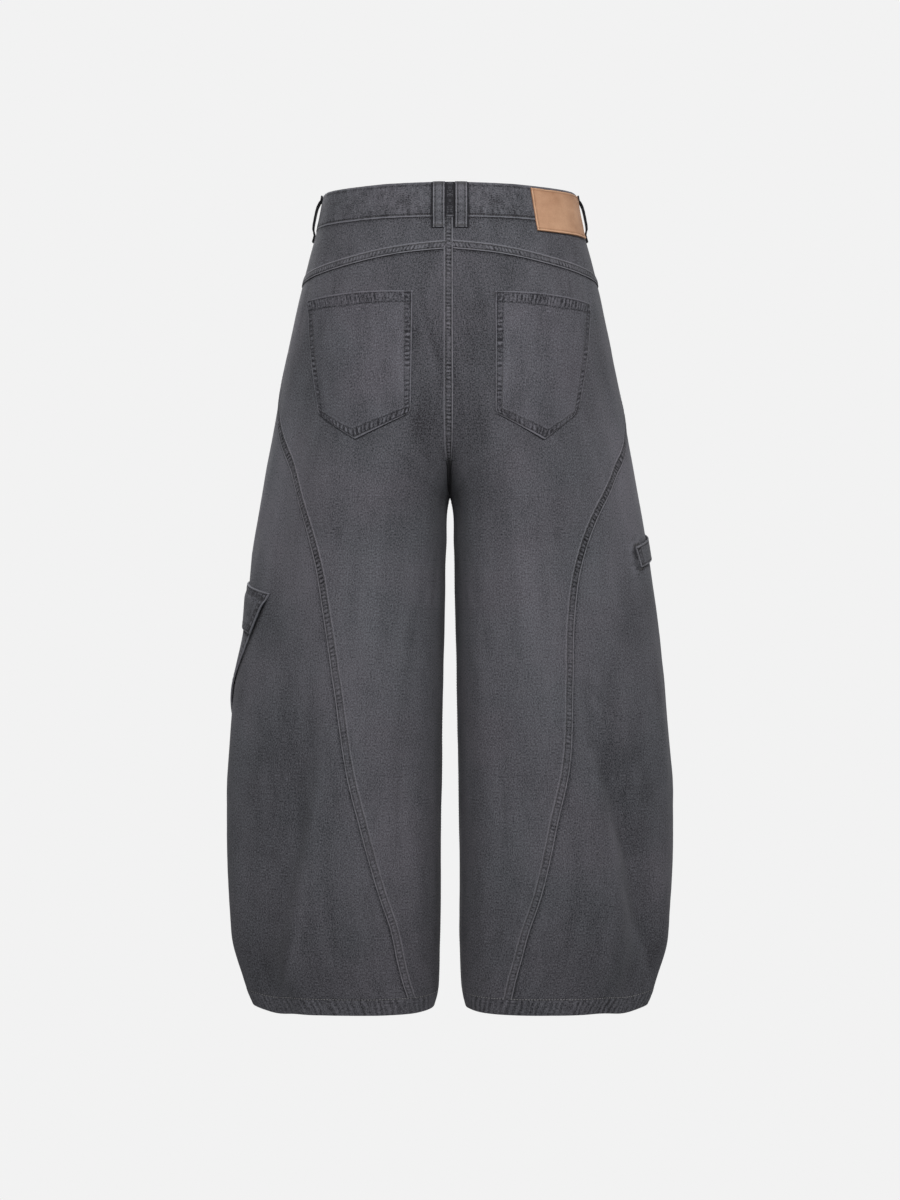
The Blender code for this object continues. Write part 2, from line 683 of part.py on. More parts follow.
def waist_button(name):
    """Shank button on the lapped end of the waistband, turned about its own axis."""
    seat = place(LEFT, -21.0, 1.0, BAND_RISE + BAND + 0.45 + 0.3)
    profile = [(0.0, 0.0), (SHANK_R, 0.0), (SHANK_R, 2.2), (BUTTON_R - 0.6, 2.4), (BUTTON_R, 3.2),
               (BUTTON_R - 0.8, 4.4), (BUTTON_R - 2.6, 4.7), (BUTTON_R - 3.2, 4.3), (0.0, 4.3)]
    mesh = bmesh.new()
    verts = [mesh.verts.new((radius, along_y, 0.0)) for radius, along_y in profile]
    edges = [mesh.edges.new(pair) for pair in zip(verts, verts[1:])]
    bmesh.ops.spin(mesh, geom=verts + edges, cent=(0, 0, 0), axis=(0, 1, 0), dvec=(0, 0, 0),
                   angle=math.tau, steps=24, use_merge=True)
    bmesh.ops.remove_doubles(mesh, verts=mesh.verts, dist=0.01)
    bmesh.ops.dissolve_degenerate(mesh, edges=mesh.edges, dist=0.001)
    bmesh.ops.recalc_face_normals(mesh, faces=mesh.faces)
    for vert in mesh.verts:
        vert.co = (vert.co + type(vert.co)((0.0, seat[1], seat[2]))) * MM
    if mesh.calc_volume(signed=True) < 0:
        bmesh.ops.reverse_faces(mesh, faces=mesh.faces)
    return finish(name, mesh, METAL, 0.4, 1.0)


def build():
    for side, word in ((RIGHT, "right"), (LEFT, "left")):
        waistband(side, f"waistband_{word}")
        yoke(side, f"yoke_{word}")
        back_panel(side, f"back_{word}")
        front_panel(side, f"front_{word}")
    for side, word in ((RIGHT, "right"), (LEFT, "left")):
        behind_it = [f"waistband_{word}", f"yoke_{word}"]
        before_it = [f"waistband_{word}", f"front_{word}"]
        back_pocket(side, f"back_pocket_{word}", [f"back_{word}"])
        belt_loop(side, f"belt_loop_back_{word}", behind_it)
        belt_loop(side, f"belt_loop_side_{word}", behind_it, BEHIND_SIDE["side loop"])
        belt_loop(side, f"belt_loop_front_{word}", before_it, BEHIND_SIDE["front loop"])
    cargo_pocket(LEFT, "cargo_pocket", ["front_left"])
    cargo_flap(LEFT, "cargo_flap", ["front_left", "cargo_pocket"])
    tool_loop(RIGHT, "tool_loop", ["front_right"])
    leather_patch("leather_patch", ["waistband_right", "yoke_right"])
    waist_button("waist_button")


for old in list(bpy.data.objects):
    bpy.data.objects.remove(old, do_unlink=True)
build()
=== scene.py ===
"""Looks of the barrel leg trousers: cloth, folds, felled seams, stitching, light and camera.

Tables are in millimetres. +X is the wearer's right, +Y the front, +Z up, as in the solids. A point on
the cloth is named by its half, its height z and its way round that half, from the centre back past the
outside of the leg to the centre front. Its share is its part of the whole way, and behind says how far
it lies behind the side line of the leg. Tone runs from dark, minus, to light, plus: it holds the cloth's
wear and fading, and also painted light and shade.
"""
import math
from collections import namedtuple

import bpy
import numpy as np
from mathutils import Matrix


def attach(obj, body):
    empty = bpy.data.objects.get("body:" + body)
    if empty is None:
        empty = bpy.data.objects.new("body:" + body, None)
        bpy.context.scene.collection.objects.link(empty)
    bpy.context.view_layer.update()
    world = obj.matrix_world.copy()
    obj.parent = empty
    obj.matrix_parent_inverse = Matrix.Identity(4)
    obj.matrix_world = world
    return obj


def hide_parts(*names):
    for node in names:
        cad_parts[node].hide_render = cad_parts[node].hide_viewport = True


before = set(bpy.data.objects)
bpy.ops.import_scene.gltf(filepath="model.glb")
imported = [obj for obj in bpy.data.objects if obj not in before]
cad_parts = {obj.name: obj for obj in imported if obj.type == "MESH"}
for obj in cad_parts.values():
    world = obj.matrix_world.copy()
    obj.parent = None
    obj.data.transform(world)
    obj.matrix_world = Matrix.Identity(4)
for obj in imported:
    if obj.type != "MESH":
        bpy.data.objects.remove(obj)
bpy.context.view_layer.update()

MM = 0.001
CLOTH = 1.5
BAND = 3.0
HALF_GAP = 0.15
BAND_RISE = 0.8
ON_TOP = 0.35
SEAM_WIDE = 11.5
WAIST_SEAM = -43.0
CROTCH = -369.0
HEM_LINE = -974.0
HEM = -995.0
YOKE_LINE = -95.0
RIGHT, LEFT = 1, -1

Level = namedtuple("Level", "z outer inner back front joined crease_r crease_l")
LEVELS = np.array([
    (0, 155.5, -155.5, 105, 98, 1.00, 0.62, 0.62), (-43, 164.5, -163, 112, 102, 1.00, 0.62, 0.62),
    (-79, 174.5, -174.5, 118, 105, 1.00, 0.62, 0.62), (-130, 187, -187, 125, 108, 1.00, 0.62, 0.62),
    (-180, 197.5, -180, 130, 111, 0.90, 0.62, 0.62), (-240, 209, -120, 132, 114, 0.66, 0.62, 0.65),
    (-300, 220, -48, 130, 116, 0.32, 0.62, 0.67), (-340, 227.5, -14, 127, 117, 0.08, 0.60, 0.66),
    (-369, 232.5, 0, 125, 116, 0, 0.58, 0.65), (-430, 243, 5, 121, 114, 0, 0.55, 0.63),
    (-500, 253.5, 6.5, 117, 112, 0, 0.53, 0.60), (-580, 263.5, 8.5, 112, 109, 0, 0.53, 0.56),
    (-660, 271, 10, 107, 106, 0, 0.57, 0.54), (-740, 275.8, 11, 102, 102, 0, 0.64, 0.57),
    (-820, 275.3, 12, 97, 98, 0, 0.70, 0.62), (-880, 271.5, 12, 92, 93, 0, 0.72, 0.66),
    (-920, 267.5, 12.5, 87, 88, 0, 0.72, 0.70), (-955, 257.5, 13.5, 82, 83, 0, 0.70, 0.72),
    (-980, 249.5, 15.5, 78, 78, 0, 0.68, 0.70), (-995, 243, 19.5, 76, 76, 0, 0.66, 0.70),
])
# The way round a leg and round the trunk: part of the width, and part of the depth, minus at the back.
# The crease of the leg comes in after the first four points.
LEG_PLAN = [
    (0.0, 0.0), (0.015, -0.38), (0.10, -0.78), (0.27, -0.975), (0.83, -0.55), (0.965, -0.25), (1.0, 0.0),
    (0.965, 0.26), (0.82, 0.60), (0.60, 0.88), (0.40, 0.99), (0.22, 0.94), (0.08, 0.70), (0.012, 0.36),
]
TRUNK_PLAN = [
    (0.0, -1.0), (0.28, -0.975), (0.55, -0.87), (0.80, -0.62), (0.95, -0.31), (1.0, 0.0), (0.96, 0.38),
    (0.82, 0.72), (0.55, 0.94), (0.28, 1.0), (0.0, 1.0),
]
RING = 721
# How far the waist rises or dips by share, and the yoke seam's height by its way from the centre back.
LIFT = [(0.0, 0.0), (0.25, -1.0), (0.5, 2.5), (0.75, -4.0), (1.0, -12.0)]
YOKE_SEAM = [(0, -81), (59, -86), (122, -95.5), (180, -104), (225, -109.5), (270, -112)]
# The outside seam: height, and how far it lies behind the side line on the right and the left half.
OUTSEAM = np.array([
    (-43, -22, -22), (-130, -22, -22), (-200, -16, -12), (-250, -4, 8), (-300, 22, 42), (-350, 66, 82),
    (-400, 110, 116), (-450, 137, 139), (-520, 155, 157), (-600, 163, 173), (-690, 173, 189),
    (-760, 190, 206), (-840, 206, 225), (-915, 219, 240), (-995, 206, 233),
])
# Folds: side, heights of its top and low end, how far behind the side line it lies at its top, middle
# and low end, how far it stands out, or goes in (minus), and its half width. The first 14 are in the
# solids too.
FOLDS = [
    (RIGHT, -590, -985, 150, 104, 20, -8.0, 17), (RIGHT, -585, -745, 142, 158, 170, -3.0, 12),
    (RIGHT, -640, -1010, 112, 52, 0, 3.5, 24), (LEFT, -560, -1020, 134, 122, 60, -5.0, 20),
    (LEFT, -420, -1010, 146, 160, 66, 2.5, 14), (RIGHT, -400, -820, 262, 252, 236, -2.0, 20),
    (LEFT, -420, -860, 270, 268, 250, -2.0, 18), (RIGHT, -330, -940, -98, -118, -102, -5.0, 20),
    (LEFT, -640, -1010, -112, -104, -124, -5.0, 20), (LEFT, -440, -600, 10, 10, 10, -4.4, 60),
    (RIGHT, -520, -1010, -190, -198, -176, -4.0, 18), (LEFT, -480, -1010, -208, -206, -190, -4.0, 18),
    (RIGHT, -560, -900, -26, -40, -34, -4.0, 18), (LEFT, -690, -985, -36, -44, -62, -3.5, 18),
    (RIGHT, -590, -990, 166, 108, 24, 2.4, 8), (RIGHT, -600, -990, 138, 84, -4, -4.5, 20),
    (LEFT, -600, -990, 162, 145, 70, 2.2, 8), (LEFT, -600, -990, 138, 118, 42, -4.5, 20),
    (RIGHT, -596, -655, 146, 118, 92, -3.0, 6), (RIGHT, -110, -290, 226, 248, 270, -2.2, 9),
    (LEFT, -110, -290, 222, 246, 269, -2.4, 9), (RIGHT, -180, -330, 244, 262, 282, -1.6, 7),
    (LEFT, -160, -340, 238, 258, 286, -1.8, 7), (RIGHT, -290, -420, 212, 236, 268, -1.8, 10),
    (LEFT, -300, -430, 216, 238, 272, -1.6, 10), (RIGHT, -98, -170, 62, 60, 54, -1.6, 5),
    (LEFT, -98, -190, 48, 50, 46, -1.0, 6), (RIGHT, -180, -520, 58, 66, 96, -1.6, 9),
    (LEFT, -200, -540, 70, 76, 104, -1.4, 10), (RIGHT, -560, -720, 96, 78, 66, -1.6, 9),
    (RIGHT, -700, -960, 182, 168, 140, -1.2, 10), (LEFT, -640, -900, 210, 224, 238, -1.2, 10),
    (LEFT, -700, -990, 96, 82, 40, -1.6, 10), (LEFT, -860, -1010, 150, 132, 118, -1.8, 9),
    (RIGHT, -880, -1010, 164, 158, 150, -1.6, 9), (RIGHT, -900, -1010, 92, 84, 78, 1.6, 9),
    (RIGHT, -470, -840, 30, 12, 24, -1.8, 12), (LEFT, -320, -470, 52, 34, 22, -1.4, 10),
    (RIGHT, -60, -330, -60, -86, -130, -2.0, 12), (LEFT, -60, -320, -66, -90, -128, -2.0, 12),
    (RIGHT, -230, -400, -150, -176, -214, -2.4, 9), (LEFT, -240, -390, -146, -178, -210, -2.2, 9),
    (RIGHT, -300, -430, -180, -204, -236, -2.0, 8), (LEFT, -290, -430, -176, -208, -240, -2.0, 8),
    (RIGHT, -560, -820, -140, -150, -130, 1.8, 12), (LEFT, -600, -860, -150, -160, -146, 1.8, 12),
    (RIGHT, -640, -700, -40, -100, -170, -1.6, 9), (LEFT, -690, -760, -60, -120, -180, -1.6, 9),
]
# The light crease down the leg: height and how far behind the side line.
CREASE = {
    RIGHT: [(-560, 158), (-627, 152), (-717, 130), (-870, 86), (-936, 42), (-995, 10)],
    LEFT: [(-560, 160), (-627, 160), (-746, 151), (-806, 138), (-928, 108), (-982, 64), (-995, 50)],
}
# Painted shade of short creases on the back, and lighter streaks: height and way of both ends, half width,
# tone.
CREASE_SHADES_AND_STREAKS = {
    LEFT: [(-154, 31, -214, 14, 3.2, -0.30), (-154, 38, -214, 21, 4.0, 0.14),
           (-182, 44, -300, 24, 9.0, -0.14), (-284, 40, -338, 31, 8.0, -0.24),
           (-112, 146, -132, 147, 1.8, -0.40),
           (-330, 60, -470, 74, 7.0, -0.12), (-420, 118, -640, 128, 9.0, 0.09)],
    RIGHT: [(-120, 152, -146, 155, 2.0, -0.40), (-150, 26, -300, 34, 14.0, -0.10),
            (-350, 40, -480, 52, 8.0, -0.10), (-400, 120, -600, 112, 10.0, 0.09)],
}
# Corners of the back pockets as way and height: top inside and outside, low inside and outside, tip.
BACK_POCKET = {
    RIGHT: [(53, -132), (191, -139), (53, -278), (161, -276), (115.5, -307.5)],
    LEFT: [(43.5, -132), (194, -135), (45.5, -278), (166, -278), (116, -307)],
}
CARGO = dict(back=67.0, top=-487.5, width=165.0, height=180.0, rise=0.195,
             back_slant=0.52, front_slant=0.36)
FLAP_DEEP = 50.0
FLAP_WIDE = 171.0
CARGO_UNDER = 14.0
TOOL_LOOP = dict(rear=51.0, z=-442.0, length=112.0, tall=25.0, rise=0.27)
LOOP_WIDE = 14.5
LOOP_PATH = [(-0.5, 1.15), (-6.0, 1.15), (-9.0, 2.6), (-15.0, 4.2), (-24.0, 4.75), (-34.0, 4.7),
             (-41.0, 3.9), (-46.0, 1.3), (-49.0, 0.4), (-56.0, 0.4)]
LOOP_FROM_BACK = 13.2
BEHIND_SIDE = {"side": -2.0, "front": -134.0}
PATCH_ROWS = [(-3.5, 98.0, 192.0), (-56.0, 106.5, 201.0)]
SEAM_ROWS = (2.0, 8.5)
FLY_WIDE, FLY_STRAIGHT, FLY_CURVE = 38.0, 140.0, 48.0
LAP_START, LAP_FULL = 46.0, 20.0
HEM_CORNER, HEM_CORNER_DROP = 0.415, 4.4
ROW_STEP = 4.2
NEAR_CROTCH = 69.0
SHARE_STEP = 0.0028


def smooth(x, xs, ys):
    """Values at x of the smooth curve through the points (xs, ys)."""
    xs, ys = np.asarray(xs, float), np.asarray(ys, float)
    if xs[0] > xs[-1]:
        xs, ys = xs[::-1], ys[::-1]
    gap = np.diff(xs)
    rate = np.diff(ys) / gap
    middle = (rate[:-1] * gap[1:] + rate[1:] * gap[:-1]) / (gap[1:] + gap[:-1])
    middle[rate[:-1] * rate[1:] <= 0] = 0.0
    tangent = np.r_[rate[0], middle, rate[-1]]
    x = np.clip(x, xs[0], xs[-1])
    i = np.clip(np.searchsorted(xs, x) - 1, 0, len(xs) - 2)
    step = gap[i]
    t = (x - xs[i]) / step
    near = (2 * t**3 - 3 * t**2 + 1) * ys[i] + (t**3 - 2 * t**2 + t) * step * tangent[i]
    return near + (3 * t**2 - 2 * t**3) * ys[i + 1] + (t**3 - t**2) * step * tangent[i + 1]


def along(table, x):
    return smooth(x, *np.transpose(table))


def mix(a, b, t):
    return a + (b - a) * t


def ease(t):
    return t * t * (3 - 2 * t)


def step_up(x, low, high):
    return ease(np.clip((x - low) / (high - low), 0.0, 1.0))


def hump(x, wide, power=2):
    return np.exp(-(x / wide) ** power)


def fade(x, wide):
    return np.exp(-np.maximum(x, 0.0) / wide)


def quarter(t):
    """Falls from 1 to 0 like a quarter of a circle."""
    return np.sqrt(1.0 - np.clip(t, 0.0, 1.0) ** 2)


def arch(t):
    return np.sin(math.pi * t)


def unit(vectors):
    return vectors / np.maximum(np.linalg.norm(vectors, axis=-1, keepdims=True), 1e-9)


def running(points):
    """Length along a line of points up to each of them."""
    return np.r_[0.0, np.cumsum(np.linalg.norm(np.diff(points, axis=0), axis=1))]


def lattice(ix, iy, seed):
    n = (ix * 374761393 + iy * 668265263 + seed * 974634777) & 0xFFFFFFFF
    n = ((n ^ (n >> 13)) * 1274126177) & 0xFFFFFFFF
    return ((n ^ (n >> 16)) & 0xFFFF) / 32767.5 - 1.0


def uneven(x, y, seed):
    """Smooth value between -1 and 1 that varies over about one unit of x and of y."""
    x, y = np.broadcast_arrays(np.asarray(x, float), np.asarray(y, float))
    ix, iy = np.floor(x).astype(np.int64), np.floor(y).astype(np.int64)
    fx, fy = ease(x - ix), ease(y - iy)
    low = lattice(ix, iy, seed) * (1 - fx) + lattice(ix + 1, iy, seed) * fx
    high = lattice(ix, iy + 1, seed) * (1 - fx) + lattice(ix + 1, iy + 1, seed) * fx
    return low * (1 - fy) + high * fy


def curve_through(points, closed, steps=20):
    points = np.asarray(points, float)
    knots = np.vstack([points[-1:], points, points[:2]]) if closed else points
    line = []
    for a, b, c, d in zip(knots, knots[1:], knots[2:], knots[3:]):
        t1 = math.dist(a, b) ** 0.5
        t2 = t1 + math.dist(b, c) ** 0.5
        t3 = t2 + math.dist(c, d) ** 0.5
        t = np.linspace(t1, t2, steps, endpoint=False)[:, None]

        def blend(p, q, low, high):
            return (high - t) / (high - low) * p + (t - low) / (high - low) * q

        ab, bc, cd = blend(a, b, 0.0, t1), blend(b, c, t1, t2), blend(c, d, t2, t3)
        line.append(blend(blend(ab, bc, 0.0, t2), blend(bc, cd, t1, t3), t1, t2))
    return np.vstack(line)


def evenly(line, count):
    run = running(line)
    steps = np.linspace(0.0, run[-1], count)
    return np.c_[np.interp(steps, run, line[:, 0]), np.interp(steps, run, line[:, 1])]


def leg_line(row, side):
    crease = row.crease_r if side == RIGHT else row.crease_l
    plan = LEG_PLAN[:4] + [(crease - 0.15, -0.985), (crease, -0.90)] + LEG_PLAN[4:]
    line = curve_through([(mix(row.inner, row.outer, across), share * (row.back if share < 0 else row.front))
                          for across, share in plan], closed=True)
    return np.vstack([line, line[:1]])


def trunk_line(row):
    points = [(across * row.outer, share * (row.back if share < 0 else row.front))
              for across, share in TRUNK_PLAN]
    first, last = ((-x, y) for x, y in (points[1], points[-2]))
    return np.vstack([curve_through([first] + points + [last], closed=False), points[-1]])


def ring(side, z):
    """The way round one half at height z in equal steps, its length and where its side line is."""
    row = Level(z, *[float(smooth(z, LEVELS[:, 0], column)) for column in LEVELS[:, 1:].T])
    line = leg_line(row, side)
    if z > CROTCH:
        kept = np.where(line[:, 0] >= 0)[0]
        i, j = kept[0], kept[-1]
        ends = [a + (b - a) * (0.0 - a[0]) / (b[0] - a[0])
                for a, b in ((line[i - 1], line[i]), (line[j + 1], line[j]))]
        line = np.vstack([ends[0], line[i:j + 1], ends[1]])
    line = evenly(line, RING)
    if row.joined > 0:
        line = (1 - row.joined) * line + row.joined * evenly(trunk_line(row), RING)
    length = float(running(line)[-1])
    past_back = np.arange(RING) > 250
    i = int(np.argmax((line[:, 1] >= 0) & past_back))
    t = -line[i - 1, 1] / (line[i, 1] - line[i - 1, 1])
    return line, length, (i - 1 + t) / (RING - 1) * length


class Half:
    """One half of the garment, kept as rings at many heights above and below the crotch."""

    def __init__(self, side, word):
        self.side, self.word = side, word
        self.blocks = []
        for heights in (CROTCH + 0.02 + 385.0 * np.linspace(0.0, 1.0, 150) ** 2,
                        np.linspace(HEM - 9.0, CROTCH, 230)):
            lines, lengths, sides = (np.array(part) for part in zip(*[ring(side, z) for z in heights]))
            way = unit(np.gradient(lines, axis=1))
            normals = np.stack([way[..., 1], -way[..., 0]], axis=2)
            self.blocks.append((heights, lines, normals, lengths, sides))

    def of_height(self, z, column):
        z = np.asarray(z, float)
        above, below = self.blocks
        return np.where(z > CROTCH, np.interp(z, above[0], above[column]),
                        np.interp(z, below[0], below[column]))

    def length(self, z):
        return self.of_height(z, 3)

    def side_way(self, z):
        return self.of_height(z, 4)

    def beside(self, z, behind):
        """Share of the way round of a point that lies so far behind the side line."""
        return (self.side_way(z) - behind) / self.length(z)

    def seam_behind(self, z):
        return smooth(z, OUTSEAM[:, 0], OUTSEAM[:, 1 if self.side == RIGHT else 2])

    def outseam(self, z):
        return self.beside(z, self.seam_behind(z))

    def yoke_edge(self, share):
        return along(YOKE_SEAM, share * self.length(YOKE_LINE))

    def skin(self, z, share):
        """Point on the cloth's face, folds included, on the right half whichever the side."""
        z, share = np.broadcast_arrays(np.asarray(z, float), np.asarray(share, float))
        share = np.clip(share, 0.0, 1.0)
        flat, out = np.empty(z.shape + (2,)), np.empty(z.shape + (2,))
        for block, chosen in zip(self.blocks, (z > CROTCH, z <= CROTCH)):
            if not chosen.any():
                continue
            heights, lines, normals = block[:3]
            r = np.clip(np.searchsorted(heights, z[chosen]) - 1, 0, len(heights) - 2)
            a = np.clip((z[chosen] - heights[r]) / (heights[r + 1] - heights[r]), 0, 1)[:, None]
            place = share[chosen] * (RING - 1)
            c = np.minimum(place.astype(int), RING - 2)
            b = (place - c)[:, None]
            for table, into in ((lines, flat), (normals, out)):
                low = table[r, c] * (1 - b) + table[r, c + 1] * b
                high = table[r + 1, c] * (1 - b) + table[r + 1, c + 1] * b
                into[chosen] = low * (1 - a) + high * a
        flat = flat + unit(out) * self.relief(z, self.side_way(z) - share * self.length(z))[..., None]
        high_up = np.clip((z + 300.0) / 300.0, 0.0, 1.0)
        hem_corner = hump(share - HEM_CORNER, 0.042) * np.clip((-940.0 - z) / 40.0, 0.0, 1.0)
        lift = along(LIFT, share) * high_up * high_up - HEM_CORNER_DROP * hem_corner
        return np.concatenate([flat, (z + lift)[..., None]], axis=-1)

    def relief(self, z, behind):
        """How far folds and the cloth's own unevenness move the face out."""
        total = np.zeros(z.shape)
        for number, (side, top, low, at_top, at_mid, at_low, deep, wide) in enumerate(FOLDS):
            t = (top - z) / (top - low)
            inside = (t > 0) & (t < 1)
            if side != self.side or not inside.any():
                continue
            t = np.clip(t, 0, 1)
            at = (at_top * (1 - t) * (1 - 2 * t) + at_mid * 4 * t * (1 - t) + at_low * t * (2 * t - 1)
                  + 3.0 * uneven(z / 47.0, number * 7.3, 11))
            deep = deep * arch(t) * (1 + 0.25 * uneven(z / 60.0, number * 3.1, 5))
            total += np.where(inside, deep * hump(behind - at, wide), 0.0)
        seed = 21 if self.side == RIGHT else 22
        return total + np.where(z > WAIST_SEAM - 4, 0.25, 1.0) * (
            0.55 * uneven(behind / 46.0, z / 70.0, seed) + 0.28 * uneven(behind / 19.0, z / 30.0, seed + 4))

    def place(self, z, share):
        """Points in millimetres and the directions out of the cloth there."""
        z, share = np.broadcast_arrays(np.asarray(z, float), np.asarray(share, float))
        up, down = z + 1.0, z - 1.0
        up = np.where((z <= CROTCH) & (up > CROTCH), z, up)
        down = np.where((z > CROTCH) & (down <= CROTCH), np.maximum(z - 0.01, CROTCH + 0.001), down)
        behind = self.side_way(z) - share * self.length(z)
        around = self.skin(z, share + SHARE_STEP) - self.skin(z, share - SHARE_STEP)
        rising = self.skin(up, self.beside(up, behind)) - self.skin(down, self.beside(down, behind))
        return self.skin(z, share), unit(np.cross(around, rising))

    def turned(self, z, share):
        point, normal = self.place(z, share)
        point[..., 0] = np.maximum(point[..., 0], 0.0) * self.side
        normal[..., 0] *= self.side
        return point, normal


HALVES = {RIGHT: Half(RIGHT, "right"), LEFT: Half(LEFT, "left")}


def spread(half, z, way):
    """World points and directions out for ways round a half. A way that is minus, or longer than the
    half, lies past the centre back or the centre front, on the other half."""
    z, way = np.broadcast_arrays(np.asarray(z, float), np.asarray(way, float))
    length = half.length(z)
    point, normal = half.turned(z, way / length)
    past = (z > CROTCH) & ((way < 0) | (way > length))
    if past.any():
        other = HALVES[-half.side]
        own = np.where(way < 0, -way, 2 * length - way)[past]
        point[past], normal[past] = other.turned(z[past], own / other.length(z[past]))
    return point, normal


def laid(half, z, way, off):
    point, normal = spread(half, z, way)
    return point + normal * np.broadcast_to(off, point.shape[:-1])[..., None]


# Materials

def put(tree, node, inputs):
    """Set a node's inputs to values, or link them to other nodes' outputs."""
    for name, value in inputs.items():
        socket = node.inputs[name]
        if isinstance(value, bpy.types.NodeSocket):
            tree.links.new(value, socket)
        else:
            socket.default_value = (*value, 1.0) if socket.type == "RGBA" else value


def add(tree, kind, inputs, output=0, **settings):
    """Output of a new node with these settings and inputs."""
    node = tree.nodes.new("ShaderNode" + kind)
    for name, value in settings.items():
        setattr(node, name, value)
    put(tree, node, inputs)
    return node.outputs[output]


def new_material(name, inputs):
    made = bpy.data.materials.new(name)
    made.use_nodes = True
    tree = made.node_tree
    shader = tree.nodes["Principled BSDF"]
    put(tree, shader, inputs)
    return made, tree, shader


def weighted(tree, start, parts, clamp=False):
    """A start value plus each part times its weight, kept within 0 and 1 if clamped."""
    for k, (value, weight) in enumerate(parts):
        start = add(tree, "Math", {0: value, 1: weight, 2: start}, operation="MULTIPLY_ADD",
                    use_clamp=clamp and k == len(parts) - 1)
    return start


def faded(tree, noises, tone_weight):
    """Part of the way from the dark to the light colour: noises about their middle, and the tone."""
    start = 0.5 - 0.5 * sum(weight for _, weight in noises)
    tone = add(tree, "Attribute", {}, "Fac", attribute_name="tone")
    return weighted(tree, start, [*noises, (tone, tone_weight)], clamp=True)


def mixed(tree, low, high, factor):
    return add(tree, "Mix", {"A": low, "B": high, "Factor": factor}, "Result", data_type="RGBA")


def noise(tree, vector, scale, detail=3.0, rough=0.6):
    inputs = {"Vector": vector, "Scale": scale, "Detail": detail, "Roughness": rough}
    return add(tree, "TexNoise", inputs, "Fac")


def in_place(tree):
    return add(tree, "TexCoord", {}, "Object")


def cloth_points(tree, across, down):
    """Cloth coordinates, in cells of the given widths in millimetres across and down the cloth."""
    uv = add(tree, "UVMap", {}, uv_map="cloth")
    return add(tree, "Mapping", {"Vector": uv, "Scale": (1000.0 / across, 1000.0 / down, 1.0)})


def bump(tree, height, strength, distance):
    return add(tree, "Bump", {"Height": height, "Strength": strength, "Distance": distance}, "Normal")


def denim(name, dark, light, grain=1.0):
    """Washed twill: warp streaks, heathered yarns and cloudy fading, lighter where worn; the tone attribute
    also brings in painted light and shade.
    """
    made, tree, shader = new_material(name, {
        "Roughness": 0.88, "Specular IOR Level": 0.12, "Sheen Weight": 0.12, "Sheen Roughness": 0.5,
        "Sheen Tint": (0.8, 0.8, 0.85)})
    place = in_place(tree)
    clouds = noise(tree, place, 9.0, rough=0.5)
    blotches = noise(tree, place, 34.0)
    streaks = noise(tree, cloth_points(tree, 2.0, 24.0), 1.0)
    yarns = noise(tree, cloth_points(tree, 1.3, 2.1), 1.0, detail=2.0)
    factor = faded(tree, [(clouds, 0.30), (blotches, 0.22), (streaks, 0.50 * grain), (yarns, 2.3 * grain)],
                   0.6)
    patches = weighted(tree, -0.35 * 3.3, [(clouds, 3.3)], clamp=True)
    red, green, blue = light
    hues = mixed(tree, (red * 0.975, green * 1.012, blue), (red * 1.02, green * 0.995, blue), patches)
    twill = add(tree, "TexWave", {"Vector": cloth_points(tree, 0.7, 0.7), "Scale": 0.32, "Distortion": 1.2,
                                  "Detail": 1.0}, "Fac", wave_type="BANDS", bands_direction="DIAGONAL")
    height = weighted(tree, 0.0, [(twill, 0.5), (yarns, 0.9), (streaks, 0.8)])
    put(tree, shader, {"Base Color": mixed(tree, dark, hues, factor),
                       "Normal": bump(tree, height, 0.45, 0.00035)})
    return made


def leather():
    made, tree, shader = new_material("tan_leather", {"Roughness": 0.62, "Specular IOR Level": 0.35})
    place = in_place(tree)
    specks = noise(tree, place, 900.0)
    factor = faded(tree, [(noise(tree, place, 60.0, detail=4.0), 0.8), (specks, 0.6)], 0.5)
    grain = add(tree, "TexVoronoi", {"Vector": place, "Scale": 1100.0}, "Distance")
    height = weighted(tree, 0.0, [(grain, 1.0), (specks, 1.0)])
    put(tree, shader, {"Base Color": mixed(tree, (0.34, 0.170, 0.092), (0.62, 0.375, 0.235), factor),
                       "Normal": bump(tree, height, 0.35, 0.0003)})
    return made


def thread(name, low, high):
    made, tree, shader = new_material(name, {"Roughness": 0.75})
    put(tree, shader, {"Base Color": mixed(tree, low, high, noise(tree, in_place(tree), 160.0))})
    return made


def dull_metal():
    made, tree, shader = new_material("dull_metal", {"Metallic": 1.0})
    wear = noise(tree, in_place(tree), 700.0)
    put(tree, shader, {"Base Color": mixed(tree, (0.16, 0.155, 0.15), (0.38, 0.37, 0.36), wear),
                       "Roughness": weighted(tree, 0.28, [(wear, 0.3)])})
    return made


DENIM = denim("washed_denim", (0.022, 0.0216, 0.0248), (0.149, 0.1470, 0.1664))
POCKET = denim("worn_denim", (0.022, 0.0214, 0.0250), (0.154, 0.1505, 0.1720))
SEAM = denim("seam_denim", (0.012, 0.0117, 0.0135), (0.176, 0.1725, 0.1940), grain=0.7)
LEATHER = leather()
THREAD = thread("dark_thread", (0.026, 0.0255, 0.0275), (0.100, 0.098, 0.103))
HEM_THREAD = thread("grey_thread", (0.120, 0.118, 0.122), (0.300, 0.296, 0.302))
TAN_THREAD = thread("tan_thread", (0.24, 0.14, 0.085), (0.42, 0.28, 0.18))
METAL = dull_metal()


# Meshes

def link(name, data):
    made = bpy.data.objects.new(name, data)
    bpy.context.scene.collection.objects.link(made)
    return made


PIECES = {}
STITCHES = {}
STITCH_FACES = np.array([face for k, j in ((0, 1), (1, 2), (2, 3), (3, 4), (4, 0)) for face in (
    (0, 1 + j, 1 + k), (11, 6 + k, 6 + j), (1 + k, 1 + j, 6 + j), (1 + k, 6 + j, 6 + k))])


